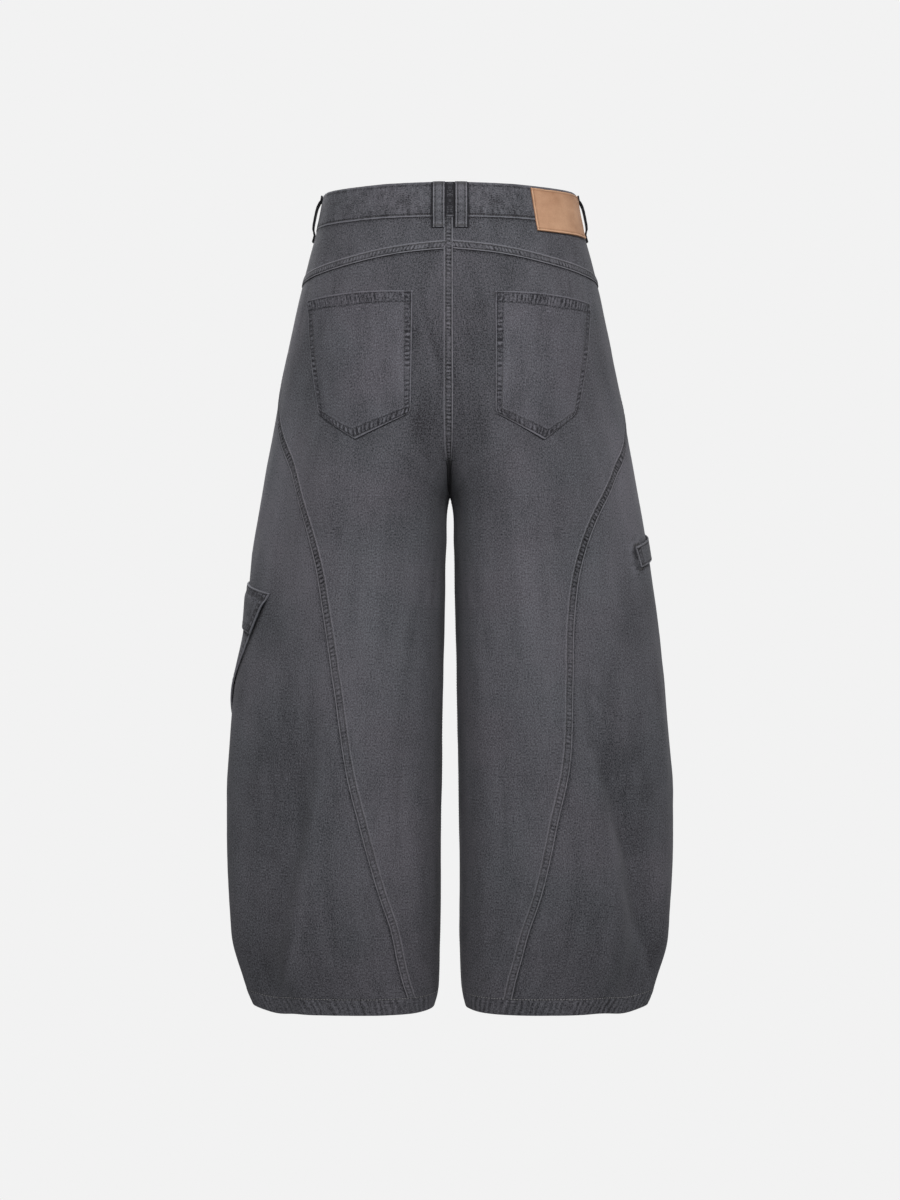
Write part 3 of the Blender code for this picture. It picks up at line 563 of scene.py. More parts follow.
def make_object(name, points, faces, material, uv=None, tone=None):
    data = bpy.data.meshes.new(name)
    data.from_pydata((points * MM).tolist(), [], faces)
    if uv is not None:
        corners = np.empty(len(data.loops), dtype=np.int64)
        data.loops.foreach_get("vertex_index", corners)
        layer = data.uv_layers.new(name="cloth")
        layer.data.foreach_set("uv", (np.stack(uv, axis=-1) * MM)[corners].astype(np.float32).ravel())
        layer = data.attributes.new("tone", "FLOAT", "POINT")
        layer.data.foreach_set("value", tone.astype(np.float32))
    data.materials.append(material)
    data.shade_smooth()
    data.set_sharp_from_angle(angle=math.radians(50))
    piece = link(name, data)
    PIECES[name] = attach(piece, "root") or piece


def on_grid(values, points):
    return np.broadcast_to(values, points.shape[:2]).ravel()


def quads(grid, flip):
    faces = np.stack([grid[:-1, :-1], grid[:-1, 1:], grid[1:, 1:], grid[1:, :-1]], axis=-1).reshape(-1, 4)
    return faces[:, ::-1] if flip else faces


def shell(name, side, outer, inner, uv, tone, material):
    """Closed sheet between two grids. Rows run down the cloth and columns away from the centre back."""
    rows, columns = outer.shape[:2]
    count = rows * columns
    front = np.arange(count).reshape(rows, columns)
    edge = np.concatenate([front[0, :-1], front[:-1, -1], front[-1, :0:-1], front[:0:-1, 0]])
    following = np.roll(edge, -1)
    rim = np.stack([following, edge, edge + count, following + count], axis=-1)
    turned = side == RIGHT
    faces = np.concatenate([quads(front, turned), quads(front + count, not turned),
                            rim[:, ::-1] if turned else rim])
    make_object(name, np.concatenate([outer.reshape(-1, 3), inner.reshape(-1, 3)]), faces.tolist(),
                material, [np.tile(on_grid(part, outer), 2) for part in uv],
                np.r_[on_grid(tone, outer), np.full(count, -0.15)])


def loft(name, side, points, uv, tone, material, closed=False):
    """Body swept from closed sections. points is sections by points round each section."""
    grid = np.arange(points[..., 0].size).reshape(points.shape[:2])
    wrapped = np.c_[grid, grid[:, :1]]
    if closed:
        wrapped = np.r_[wrapped, wrapped[:1]]
    faces = quads(wrapped, side != RIGHT).tolist()
    if not closed:
        first, last = grid[0].tolist(), grid[-1].tolist()
        faces += [first[::-1], last] if side == RIGHT else [first, last[::-1]]
    make_object(name, points.reshape(-1, 3), faces, material, [on_grid(part, points) for part in uv],
                on_grid(tone, points))


def sew_on(group, half, z, way, off, length=2.7, pitch=3.5, width=0.34, tall=0.24):
    """Row of stitches along a line of places, half sunk in the cloth."""
    z, way, off = (part.ravel() for part in np.broadcast_arrays(z, way, off))
    points, normals = spread(half, z, way)
    points = points + normals * off[:, None]
    run = running(points)
    count = int(run[-1] / pitch)
    if count < 1:
        return
    middles = (np.arange(count) + 0.5) * run[-1] / count

    def at(values, where):
        return np.stack([np.interp(where, run, part) for part in values.T], axis=-1)

    centre = at(points, middles)
    ahead = unit(at(points, np.minimum(middles + 1.0, run[-1])) - at(points, np.maximum(middles - 1.0, 0)))
    across = unit(np.cross(at(normals, middles), ahead))
    normal = np.cross(ahead, across)
    corners = [centre - ahead * length / 2]
    for part in (-0.5, 0.5):
        for angle in np.linspace(0, math.tau, 5, endpoint=False):
            corners.append(centre + ahead * part * length * 0.62 + across * math.cos(angle) * width
                           + normal * math.sin(angle) * tall)
    corners.append(centre + ahead * length / 2)
    STITCHES.setdefault(group, []).append(np.stack(corners, axis=1))


def pucker(run, seed, period=6.6, lean=0.0, across=0.0):
    """Roping along a seam: -1 in a dimple, 1 on a ridge, uneven in spacing and strength."""
    phase = (math.tau * (run + lean * across) / period + 3.4 * uneven(run / 15.0, 0.5, seed)
             + 0.9 * uneven(run / 5.5, across / 5.0, seed + 5))
    strength = np.clip(0.62 + 0.72 * uneven(run / 9.5, 3.5, seed + 1), 0.05, 1.3)
    return np.sin(phase) * strength + 0.42 * uneven(run / 2.7, across / 3.2, seed + 7)


def seam_pull(distance, run, seed, reach=7.0):
    """Small ripples in a panel that run away from a seam."""
    wave = uneven(run / 5.2, 0.3, seed) * 0.6 + uneven(run / 11.0, 4.3, seed + 1) * 0.5
    return 0.42 * wave * fade(distance, reach)


def rows_down(top, low):
    """Heights from top to low, closer together where the legs part."""
    closer, below = CROTCH + NEAR_CROTCH, CROTCH - 20.0
    return np.concatenate([np.linspace(top, closer, int((top - closer) / ROW_STEP)),
                           CROTCH + NEAR_CROTCH * np.linspace(1.0, 0.0, 19)[1:-1] ** 2 + 0.05,
                           CROTCH - 16.0 * np.linspace(0.0, 1.0, 6) ** 1.5,
                           np.linspace(below, low, int((below - low) / ROW_STEP))])


def painted_light_and_fading(half, z, way):
    """Fading with painted light and shade: lighter along the crease of the leg, painted shade outside it
    where the leg turns away and towards the inside leg, painted light on the backs of the thighs and on the
    hips, darker towards the hem.
    """
    behind = half.side_way(z) - way
    outside = along(CREASE[half.side], z) - behind
    deep, reach = (0.80, 42.0) if half.side == LEFT else (0.30, 15.0)
    crease = step_up(-z, 590.0, 690.0) * (1 - 0.7 * step_up(-z, 930.0, 990.0)) * (
        0.09 * hump(outside + 3.0, 6.0) - 0.24 * step_up(outside, -2.0, 9.0) * fade(outside, 60.0)
        * step_up(70.0 - np.abs(behind - 60.0), -60.0, 40.0))
    legs = (0.28 - 0.11 * step_up(-z, 540.0, 680.0)) * step_up(-z, 380.0, 460.0)
    hips = 0.48 * step_up(-z, 200.0, 330.0) * step_up(z, -520.0, -420.0)
    return (crease - deep * hump(way, reach) * step_up(-z, -CROTCH, 470.0)
            + legs * hump(behind - 190.0, 75.0) + hips * hump(behind - 45.0, 50.0)
            + 0.12 * hump(behind - 30.0, 70.0) * step_up(-z, 560.0, 660.0)
            - 0.08 * step_up(-z, 560.0, 700.0) - 0.20 * step_up(-z, 800.0, 930.0)
            + 0.10 * uneven(behind / 55.0, z / 120.0, 211) + 0.12 * uneven(behind / 12.0, z / 60.0, 213))


def crease_shade_and_streaks(half, z, way):
    """Painted shade of short creases on the back, and lighter streaks, each along a line."""
    total = np.zeros(np.broadcast(z, way).shape)
    for z1, way1, z2, way2, wide, deep in CREASE_SHADES_AND_STREAKS[half.side]:
        t = (z - z1) / (z2 - z1)
        inside = np.clip(t, 0.0, 1.0)
        middle = mix(way1, way2, inside) + 1.5 * uneven(z / 16.0, z1, 217)
        beyond = (t - inside) * (z2 - z1)
        total += deep * hump(way - middle, wide) * hump(beyond, 9.0) * (1 + 0.4 * uneven(z / 13.0, z2, 218))
    return total


def shade_beside(half, z, way):
    """Painted shadow on the leg behind the cargo pocket, and painted shadow with painted light and shade of
    pulled cloth round the tool loop.
    """
    behind = half.side_way(z) - way
    if half.side == LEFT:
        down = CARGO["top"] - z
        away = behind - CARGO["back"] + down * CARGO["back_slant"]
        level_with = (down > 0) & (down < CARGO["height"]) & (away > -2)
        return -0.6 * hump(np.maximum(away, 0.0), 3.5) * level_with
    across = TOOL_LOOP["rear"] - behind
    up = np.abs(z - TOOL_LOOP["z"] + 3.0 - across * TOOL_LOOP["rise"]) - TOOL_LOOP["tall"] / 2
    away = np.hypot(np.maximum(-across, 0.0), np.maximum(up, 0.0))
    near = hump(away, 3.2) * (across < TOOL_LOOP["length"]) * (across > -30)
    return 0.8 * hump(away, 11.0) * (across < 20) * uneven(behind / 5.0, z / 4.0, 219) - 0.9 * near


def loop_shade(z, way):
    """Shade on the cloth along both edges of the belt loops beside the centre back."""
    return -1.3 * hump(np.abs(np.abs(way - LOOP_FROM_BACK) - LOOP_WIDE / 2 - 0.8), 1.4) * (z > -57.0)


def panel(kind, half, z, way, off, tone):
    point, normal = spread(half, z, way)
    off = off[..., None]
    shell(f"cloth_{kind}_{half.word}", half.side, point + normal * off,
          point + normal * (np.minimum(off, 0.3) - CLOTH), (way - half.side_way(z), z), tone, DENIM)


def back_panel(half):
    z = rows_down(YOKE_LINE, HEM_LINE + 0.15)[:, None]
    step = np.linspace(0.0, 1.0, 76)

    def shares(z):
        gap = HALF_GAP / half.length(z)
        first = np.where(z <= CROTCH, gap, 0.0)
        return mix(first, half.outseam(z) - gap, step)

    share = shares(z)
    # The rows bend with the yoke seam near it.
    height = z + (half.yoke_edge(share) - YOKE_LINE) * np.maximum(0.0, 1.0 - (YOKE_LINE - z) / 150.0)
    height[0] -= HALF_GAP
    share = np.where(z > -260, shares(height), share)
    way = share * half.length(height)
    to_out = half.outseam(height) * half.length(height) - HALF_GAP - way
    to_yoke = half.yoke_edge(share) - height
    off = (seam_pull(to_out - SEAM_WIDE, -height, 31) + seam_pull(to_yoke, way, 33)
           + seam_pull(way - 8.0, -height, 35) * (height > -330)
           + 0.8 * seam_pull(height - HEM_LINE, way, 37, 12.0) - 0.45 * np.exp(-to_yoke / 3.0))
    # Painted light and shade: a shaded seat valley, painted light round the crotch, a painted shadow deep in
    # the crotch, shade that follows the ripples, and a painted shadow under the yoke seam.
    crotch_light = step_up(-height, 310, 350) * (1 - step_up(-height, 400, 470))
    tone = (painted_light_and_fading(half, height, way) + crease_shade_and_streaks(half, height, way)
            - 0.20 * hump(way - 20.0, 42.0) * step_up(height, -340, -280)
            + 0.34 * hump(way - 20.0, 20.0) * crotch_light
            - 3.0 * hump(way, 4.5) * step_up(-height, 338, 352) * (height > CROTCH - 6)
            + 0.12 * off - 0.55 * fade(to_yoke, 1.6))
    panel("back", half, height, way, off, tone)


def fly_edge(z, from_front):
    """Distance inside the fly's curved edge, which is minus outside it."""
    return FLY_WIDE * quarter((-z - FLY_STRAIGHT) / FLY_CURVE) - from_front


def front_panel(half):
    z = np.concatenate([np.linspace(WAIST_SEAM + 1.5, YOKE_LINE, 15)[:-1],
                        rows_down(YOKE_LINE, HEM_LINE + 0.15)])[:, None]
    length = half.length(z)
    first = half.outseam(z) * length + HALF_GAP
    last = length - np.where(z <= CROTCH, HALF_GAP, 0.0)
    if half.side == LEFT:
        last = last + 2.6 * step_up(z, -196.0, -186.0)
    way = mix(first, last, np.linspace(0.0, 1.0, 134))
    off = (seam_pull(way - first, -z, 41, 9.0) + 0.8 * seam_pull(z - HEM_LINE, way, 43, 12.0)
           + 0.6 * seam_pull(WAIST_SEAM - z, way, 45, 8.0) - 0.35 * fade(way - first, 2.5))
    # Painted shade that follows the ripples, and a painted shadow on the panel beside the outside seam.
    tone = (painted_light_and_fading(half, z, way) + shade_beside(half, z, way) + 0.12 * off - 0.60 * fade(way - first, 1.4))
    if half.side == LEFT:
        fly = fly_edge(z, length - way)
        off = off + 0.8 * step_up(fly, -1.0, 1.0)
        tone = tone + 0.35 * hump(fly, 1.5) + 0.6 * hump(last - way, 1.2) * (z > -190)
    panel("front", half, z, way, off, tone)


def yoke(half):
    step = np.concatenate([np.linspace(0.0, 0.1, 30)[:-1], np.linspace(0.1, 1.0, 76)])[None, :]
    share = step * half.outseam(YOKE_LINE)
    for _ in range(3):
        low = half.yoke_edge(share) + HALF_GAP
        share = step * half.outseam(low)
    top = WAIST_SEAM + 1.5
    z = mix(top, low, np.linspace(0.0, 1.0, 24)[:, None])
    way = (half.outseam(z) * half.length(z) - HALF_GAP) * step
    off = 0.7 * seam_pull(z - low - SEAM_WIDE, way, 51) + 0.9 * seam_pull(top - z, way, 53, 6.0)
    # Painted shade that follows the ripples, painted shade beside the belt loops and a painted shadow under
    # the waistband.
    tone = (0.12 * off - 0.06 + 0.12 * uneven(way / 14.0, z / 30.0, 55) + loop_shade(z, way)
            - 0.55 * fade(WAIST_SEAM - z, 2.0))
    panel("yoke", half, z, way, off, tone)


# Places across a felled seam, whose two rows of stitching are at SEAM_ROWS.
FELL = [0.0, 0.3, 0.75, 1.3, 1.9, 2.5, 3.3, 4.2, 5.1, 6.0, 6.9, 7.7, 8.3, 8.9, 9.5, 10.1, 10.8, 11.5]


def fell_height(across, run, seed, strength):
    """Height and tone of a felled seam across its width, puckered between its two stitch rows."""
    rope = pucker(run, seed, period=4.6, lean=0.12, across=across)
    between = hump(across - 5.2, 2.9, 4)
    rise = (0.80 * step_up(across, -0.3, 0.6) * (1 - step_up(across, 9.2, 11.6)) + 0.12
            + between * (0.12 + 0.30 * rope) + 0.14 * hump(across - 0.6, 0.8) * pucker(run + 2.0, seed + 3)
            - 0.40 * sum(hump(across - row, 0.55) for row in SEAM_ROWS))
    dots = 1.0 + 0.6 * uneven(run / 2.1, 0.5, seed + 9)
    # A worn, lighter folded edge with a painted shadow at its foot, roping lighter on its worn ridges with
    # painted shade in its dimples, and painted shade in the grooves of the stitch rows.
    tone = (1.5 * hump(across - 0.95, 0.6) * (0.85 + 0.5 * uneven(run / 7.0, 1.5, seed))
            - 1.5 * hump(across, 0.35) + between * (0.60 * rope - 0.02)
            - 0.50 * dots * hump(across - 2.4, 0.7) - 0.45 * dots * hump(across - 8.4, 0.8)
            + 0.70 * hump(across - 10.3, 0.7))
    return np.minimum(strength, 1.0) * rise, strength * tone


def felled_seam(name, half, z, way, seed, onward=1.0, up=0.0, over=0.0, strength=1.0, shade=0.0):
    """Raised seam along a line of places; onward and up are the steps of way and of height for each
    millimetre across the seam."""
    point, _ = half.place(z, np.maximum(way, 0.0) / half.length(z))
    run = running(point)[:, None]
    z, way, onward, up, over, strength, shade = (
        np.broadcast_to(part, z.shape)[:, None] for part in (z, way, onward, up, over, strength, shade))

    def at(across):
        height = z + up * across
        return height, way + onward * across + (half.side_way(height) - half.side_way(z))

    across = np.array(FELL)
    rise, tone = fell_height(across, run, seed, strength)
    base, normal = spread(half, *at(across))
    order = slice(None) if onward[0] > 0 or up[0] > 0.5 else slice(None, None, -1)
    shell(name, half.side, (base + normal * (rise + over)[..., None])[:, order],
          (base + normal * 0.02)[:, order], (across[order], run), (tone + shade)[:, order], SEAM)
    for row in SEAM_ROWS:
        sew_on("stitching_seams", half, *at(row), fell_height(row, run, seed, strength)[0] + 0.16 + over)


def outside_seam(half):
    z = np.linspace(WAIST_SEAM - 0.6, HEM_LINE + 0.2, 640)
    behind = half.seam_behind(z)
    slope = np.gradient(behind, z)
    size = np.hypot(slope, 1.0)
    upper = step_up(z, -560.0, -440.0)
    felled_seam(f"outside_seam_{half.word}", half, z, half.side_way(z) - behind + 0.6, 61 + half.side,
                onward=-1.0 / size, up=-slope / size, strength=0.82 + 0.45 * upper, shade=-0.22 * upper)


def yoke_seam(half):
    share = np.linspace(0.0, 1.0, 190) * half.outseam(-111.0)
    z = half.yoke_edge(share) - 0.6
    felled_seam(f"yoke_seam_{half.word}", half, z, share * half.length(z), 71 + half.side,
                onward=0.0, up=1.0, strength=1.25)


def down_to_crotch(top, count):
    return np.concatenate([np.linspace(top, CROTCH + NEAR_CROTCH, count),
                           CROTCH + NEAR_CROTCH * np.linspace(1, 0.12, 60)[1:] ** 2])


def centre_seam(half):
    """Centre back seam, from the waistband over the yoke seam to the crotch, its edge past the middle."""
    z = down_to_crotch(WAIST_SEAM - 0.4, 190)
    over = 0.75 * step_up(z, -97.0, -92.0) * (1 - step_up(z, -80.0, -77.0))
    # Painted shade along the seam, deepest where it dips into the crotch.
    felled_seam("centre_back_seam", half, z, -3.7 * step_up(z, -366.0, -330.0), 81, over=over,
                strength=1.2, shade=-0.12 - 3.0 * step_up(-z, 322.0, 348.0))


def front_seam(half):
    z = down_to_crotch(-190.0, 80)
    way = half.length(z) + 1.2 * step_up(z, -350.0, -330.0)
    felled_seam("centre_front_seam", half, z, way, 85, onward=-1.0)


def inside_seam(half):
    z = np.linspace(CROTCH - 6.0, HEM_LINE + 0.2, 380)
    felled_seam(f"inside_seam_{half.word}", half, z, HALF_GAP, 91 + half.side, strength=0.35)


def hem_band(half):
    """Turned-up hem: one rolled ring, puckered below its row of stitching."""
    profile = [(z, 0.0) for z in np.linspace(HEM_LINE + 0.3, HEM + 1.6, 16)]
    profile += [(HEM + 0.7, -0.35), (HEM + 0.1, -0.9), (HEM, -1.5), (HEM + 0.1, -2.1), (HEM + 0.8, -2.7)]
    profile += [(z, -2.9) for z in np.linspace(HEM + 1.8, HEM_LINE + 0.3, 6)]
    z, base = np.transpose(profile)
    share = np.linspace(0.0, 1.0, 420, endpoint=False)[:, None]
    run = share * half.length(-985.0)
    depth = HEM_LINE - z
    rope = pucker(run, 101 + half.side, period=7.4, lean=0.30, across=depth)
    on_face = (base > -0.5) * step_up(depth, 0.5, 3.0)
    off = (base + on_face * (0.30 + 0.28 * rope * hump(depth - 11.0, 8.5))
           - 0.35 * hump(depth - 0.9, 0.7) * (base > -0.5))
    # Roping lighter on its ridges with painted shade in its dimples, painted shade in the groove at the
    # stitch row, and a worn, lighter fold at the bottom.
    tone = (on_face * (0.45 * rope - 0.10) - 0.75 * hump(depth - 0.9, 0.9)
            + 0.45 * step_up(depth, 18.0, 20.5) * (0.6 + 0.5 * rope) * (base > -1.6))
    loft(f"hem_{half.word}", half.side, laid(half, z, share * half.length(z), off), (run, z), tone, DENIM,
         closed=True)
    line = HEM_LINE - 0.9
    sew_on("stitching_hems", half, line, np.linspace(0.0, 1.0, 700) * half.length(line), 0.15, width=0.5)


def waistband(half):
    """Half of the waistband, rolled at its top edge; the left half laps over the right one."""
    length = half.length(-20.0)
    way = np.concatenate([np.linspace(0.0, 24.0, 31)[:-1], np.linspace(24.0, length, 214)])
    if half.side == LEFT:
        way = np.concatenate([way, length + np.linspace(1.8, 20.0, 11)])
    way = way[:, None]
    face = [*WAIST_SEAM + np.array([0.0, 0.5, 1.1, 1.8, 2.5, 3.2, 3.9]),
            *np.linspace(WAIST_SEAM + 5.0, -2.2, 20)]
    profile = [(z, 0.0) for z in face]
    profile += [(-0.9, -0.25), (-0.25, -0.8), (0.0, -1.5), (-0.25, -2.2), (-0.9, -2.75)]
    profile += [(z, -3.0) for z in np.linspace(-2.2, WAIST_SEAM, 9)]
    z, base = np.transpose(profile)

    def lap(way):
        return (BAND + 0.45) * step_up(way, length - LAP_START, length - LAP_FULL) * (half.side == LEFT)

    shown = base > -1.0
    rope = pucker(way, 111 + half.side, period=6.4)
    up = z - WAIST_SEAM
    off = base + BAND_RISE + lap(way) + shown * (
        0.30 * rope * hump(up - 6.5, 3.6) - 0.40 * hump(up - 3.0, 0.6)
        + 0.35 * uneven(way / 13.0, z / 18.0, 117)
        + 0.3 * uneven(way / 5.5, z / 30.0, 118) * hump(z + 4.0, 9.0))
    # Roping with painted shade in its dimples, painted shade in the groove of the stitch row, a painted
    # shadow at the seam below, worn light edges at the seam and the top, a darker dotted row near the top,
    # and painted shade at the centre back and beside the belt loops.
    tone = shown * (0.34 * rope * hump(up - 6.5, 4.0) - 0.85 * hump(up - 3.3, 0.9)
                    + 1.3 * hump(up - 1.1, 0.8) - 0.9 * hump(up, 0.4) + 0.50 * hump(z + 1.3, 1.2)
                    + 0.15 * uneven(way / 7.0, z / 9.0, 119) + 0.26 * uneven(way / 2.8, z / 4.0, 120) - 0.05
                    - 0.45 * hump(z + 4.2, 1.0) * (1 + 0.7 * uneven(way / 2.1, 0.5, 121))
                    - 0.55 * hump(way, 6.5, 4) + loop_shade(z, way))
    loft(f"cloth_waistband_{half.word}", -half.side, laid(half, z, way / length * half.length(z), off),
         (-z, way), tone, DENIM)
    line, height = np.linspace(0.004, 0.985, 500), WAIST_SEAM + 3.0
    sew_on("stitching_waist", half, height, line * half.length(height),
           BAND_RISE - 0.22 + lap(line * length))


def belt_loop(half, where):
    path_z, path_off = np.transpose(LOOP_PATH)
    count = 46
    stations, parts = np.linspace(0.0, 1.0, count), np.linspace(0.0, 1.0, len(LOOP_PATH))
    z = np.interp(stations, parts, path_z)[:, None]
    lift = smooth(stations, parts, path_off)[:, None]
    edge = LOOP_WIDE / 2
    section = [(-edge, 0.9)] + [(x, 1.7) for x in np.linspace(-edge + 0.5, edge - 0.5, 15)]
    section += [(edge, 0.9)] + [(x, 0.0) for x in np.linspace(edge - 0.4, -edge + 0.4, 5)]
    across, thick = np.transpose(section)
    face = (thick > 1.0) * 1.0
    run = np.linspace(0.0, 60.0, count)[:, None]
    at_back = where == "back"

    def way_of(z, across):
        return (LOOP_FROM_BACK if at_back else half.side_way(z) - BEHIND_SIDE[where]) + across

    off = (lift + thick * (1.0 if at_back else 1.4) + 0.15 * (thick < 0.1)
           + face * (0.25 * hump(across, 1.8) - 0.3 * hump(np.abs(across) - 4.6, 0.6)
                     + 0.12 * pucker(run, 121)))
    # Worn light edges, painted shade at the stitch rows, roping with painted shade in its dimples, a painted
    # shadow on the underside and the sides, and painted shade on the loops at the side and the front, which
    # face away from the key light.
    tone = face * (1.3 * hump(np.abs(across) - 5.9, 0.6) - 0.9 * hump(np.abs(across) - 4.5, 0.8)
                   + 0.22 * pucker(run, 123) + 0.10
                   + 0.35 * hump(run - 57.0, 2.5) * uneven(across / 1.6, run / 3.0, 125))
    tone = tone - 1.3 * (thick < 1.0) - 0.5 * (np.abs(across) > 6.6) - (0.0 if at_back else 0.45)
    loft(f"cloth_belt_loop_{where}_{half.word}", half.side, laid(half, z, way_of(z, across), off),
         (across, run), tone, SEAM)
    sewn = slice(2, -2)
    for row in (-4.6, 4.6):
        sew_on("stitching_waist", half, z[sewn], way_of(z[sewn], row), lift[sewn] + 1.62)
    for bar in (-2.6, -53.6):
        for row in np.linspace(-5.4, 5.4, 16):
            line = np.linspace(bar + 1.3, bar - 1.3, 3)
            sew_on("stitching_waist", half, line, way_of(line, row),
                   np.interp(-line, -path_z, path_off) + 1.85, length=2.6, pitch=2.4)


def edge_rows(distance, run, seed, rows, period):
    """Relief and tone near a stitched edge: a worn, lighter fold with a painted shadow at the cut edge,
    grooves at the rows with painted shade in them, and roping between them, lighter on its ridges, with
    painted shade in its dimples.
    """
    relief = 0.15 * hump(distance - 1.0, 0.8) - 0.70 * hump(distance, 0.4)
    tone = (1.45 * hump(distance - 1.0, 0.65) * (0.85 + 0.5 * uneven(run / 7.0, 2.5, seed))
            - 1.5 * hump(distance, 0.35))
    dots = 1.0 + 0.6 * uneven(run / 2.1, 0.5, seed + 9)
    if len(rows) > 1:
        rope = pucker(run, seed, period=period, lean=0.2, across=distance)
        middle = hump(distance - sum(rows) / 2, (rows[1] - rows[0]) * 0.42, 4)
        relief = relief + middle * (0.12 + 0.34 * rope)
        tone = tone + middle * (0.95 * rope - 0.24) + 0.30 * hump(distance - rows[1] - 1.6, 0.7)
    for row in rows:
        relief = relief - 0.32 * hump(distance - row, 0.6)
        tone = tone - 0.70 * dots * hump(distance - row - 0.4, 0.8)
    return relief, tone


def edge_steps(size, step):
    """Parts of the way across a piece, closer together near its two edges."""
    near = np.cumsum([0.0, 0.45, 0.5, 0.55, 0.6, 0.7, 0.8, 0.9, 1.0, 1.1, 1.2, 1.3, 1.4])
    middle = np.linspace(near[-1], size - near[-1], int((size - 2 * near[-1]) / step))
    return np.concatenate([near[:-1], middle, (size - near[:-1])[::-1]]) / size


def sewn_piece(name, half, spot, size, step, rows, lift, thick, material, seed, extra=None,
               group="stitching_pockets", low_lean=1.0, rim=None):
    """Flat piece sewn on by its edges. spot gives height and way, and lift the room behind it, for a
    place named by its parts of the way across and down. rows holds the distances of the stitch rows
    from the sides, the low edge and the top; rim is the tone of the cut edges, if it has its own."""
    wide, tall = size
    a, d = np.broadcast_arrays(edge_steps(wide, step), edge_steps(tall, step)[:, None])
    x, y = a * wide, d * tall
    edges = dict(zip(("left", "right", "low", "top"), (rows[0], *rows)))
    relief, tone = extra(a, d, x, y) if extra else (0.0, 0.0)
    for k, (edge, distance, run) in enumerate((("left", x, y), ("right", wide - x, y), ("top", y, x),
                                               ("low", (tall - y) * low_lean, x))):
        more, shade = edge_rows(distance, run, seed + 5 * k, edges[edge], 4.7 if edge == "top" else 6.2)
        relief, tone = relief + more, tone + shade
    # A rim tone paints the cut edges: a light rim is wear and painted light on edges that turn away from the
    # lamps.
    if rim is not None:
        tone = np.where(np.minimum(np.minimum(x, y), tall - y) < 0.6, rim, tone)
    point, normal = spread(half, *spot(a, d))
    behind = np.broadcast_to(lift(a, d), a.shape)
    shell(name, half.side, point + normal * (behind + thick + relief)[..., None],
          point + normal * behind[..., None], (x, y), tone, material)
    t = np.linspace(0.0, 1.0, 240)
    for edge, distances in edges.items():
        for row in distances:
            if edge in ("left", "right"):
                top = edges["top"][0] / tall
                line = (row / wide if edge == "left" else 1 - row / wide, mix(top, 1 - row / tall, t))
            else:
                start = row / wide if edge == "low" else 0.01
                line = (mix(start, 1 - start, t),
                        row / tall if edge == "top" else 1 - row / (tall * low_lean))
            sew_on(group, half, *spot(*line), lift(*line) + thick - 0.14)


def back_pocket(half):
    in_top, out_top, in_low, out_low, tip = BACK_POCKET[half.side]
    tip_at = (tip[0] - in_low[0]) / (out_low[0] - in_low[0])

    def spot(a, d):
        low = np.interp(a, [0.0, tip_at, 1.0], [in_low[1], tip[1], out_low[1]])
        top = mix(in_top[1], out_top[1], a) + 2.6 * arch(a)
        turn = 1.0 - quarter((d - 0.93) / 0.07)
        left = mix(in_top[0], in_low[0], d) + 5.0 * turn
        right = mix(out_top[0], out_low[0], d) - 9.0 * turn + 1.6 * arch(np.clip(d, 0, 1))
        return mix(top, low, d), mix(left, right, a)

    def extra(a, d, x, y):
        relief = (0.9 * arch(a) * np.exp(-y / 30.0) + 0.7 * arch(a) * arch(np.clip(d, 0, 1)) ** 0.7
                  + 0.45 * uneven(x / 34.0, y / 40.0, 141 + half.side) + 0.55 * (1 - step_up(y, 15.5, 17.0)))
        tone = (0.05 * arch(a) * arch(d) + 0.14 * uneven(x / 11.0, y / 50.0, 147)
                + 0.22 * hump(x - 14.0, 4.0) * arch(d))
        return relief, tone

    sides = (2.0, 9.2)
    sewn_piece(f"cloth_back_pocket_{half.word}", half, spot, (132.0 if half.side == RIGHT else 144.0, 160.0),
               1.8, (sides, sides, (2.4, 13.5)), lambda a, d: ON_TOP, CLOTH, POCKET, 131 + 20 * half.side,
               extra=extra, low_lean=0.9)


def cargo_spot(half, across, down):
    slant = mix(CARGO["back_slant"], CARGO["front_slant"], across / CARGO["width"])
    z = CARGO["top"] + across * CARGO["rise"] - down
    return z, half.side_way(z) - CARGO["back"] + across + down * slant


def cargo_pocket(half):
    wide, tall = CARGO["width"], CARGO["height"] - CARGO_UNDER

    def spot(a, d):
        return cargo_spot(half, a * wide, CARGO_UNDER + tall * d)

    def extra(a, d, x, y):
        under_flap = y - FLAP_DEEP + CARGO_UNDER
        # Painted shadow on the pocket just under the flap's low edge.
        return (0.5 * uneven(x / 40.0, y / 40.0, 151) * arch(a),
                0.05 - 1.1 * hump(under_flap, 3.0) * (under_flap > -4))

    def lift(a, d):
        return ON_TOP + 1.5 * np.exp(-a * wide / 16.0) * step_up(1.02 - d, 0.0, 0.4)

    sides = (2.0, 9.0)
    sewn_piece("cloth_cargo_pocket", half, spot, (wide, tall), 2.0, (sides, sides, (2.0,)), lift,
               CLOTH + 0.5, POCKET, 161, extra=extra, rim=1.5)


def cargo_flap(half):
    def spot(a, d):
        return cargo_spot(half, a * FLAP_WIDE - 3.0, FLAP_DEEP * d)

    def lift(a, d):
        down = d * FLAP_DEEP
        return (ON_TOP + (CLOTH + 0.5) * step_up(down, 6.0, 16.0)
                + 2.0 * np.exp(-a * FLAP_WIDE / 16.0) * step_up(down, 2.0, 16.0))

    def extra(a, d, x, y):
        return 0.5 * uneven(x / 30.0, y / 30.0, 153) * d, 0.3 * uneven(x / 6.0, y / 5.0, 155) - 0.08

    sides = (2.0, 8.5)
    sewn_piece("cloth_cargo_flap", half, spot, (FLAP_WIDE, FLAP_DEEP), 1.8, (sides, sides, (2.0, 8.0)),
               lift, 2.2, POCKET, 171, extra=extra, rim=1.5)


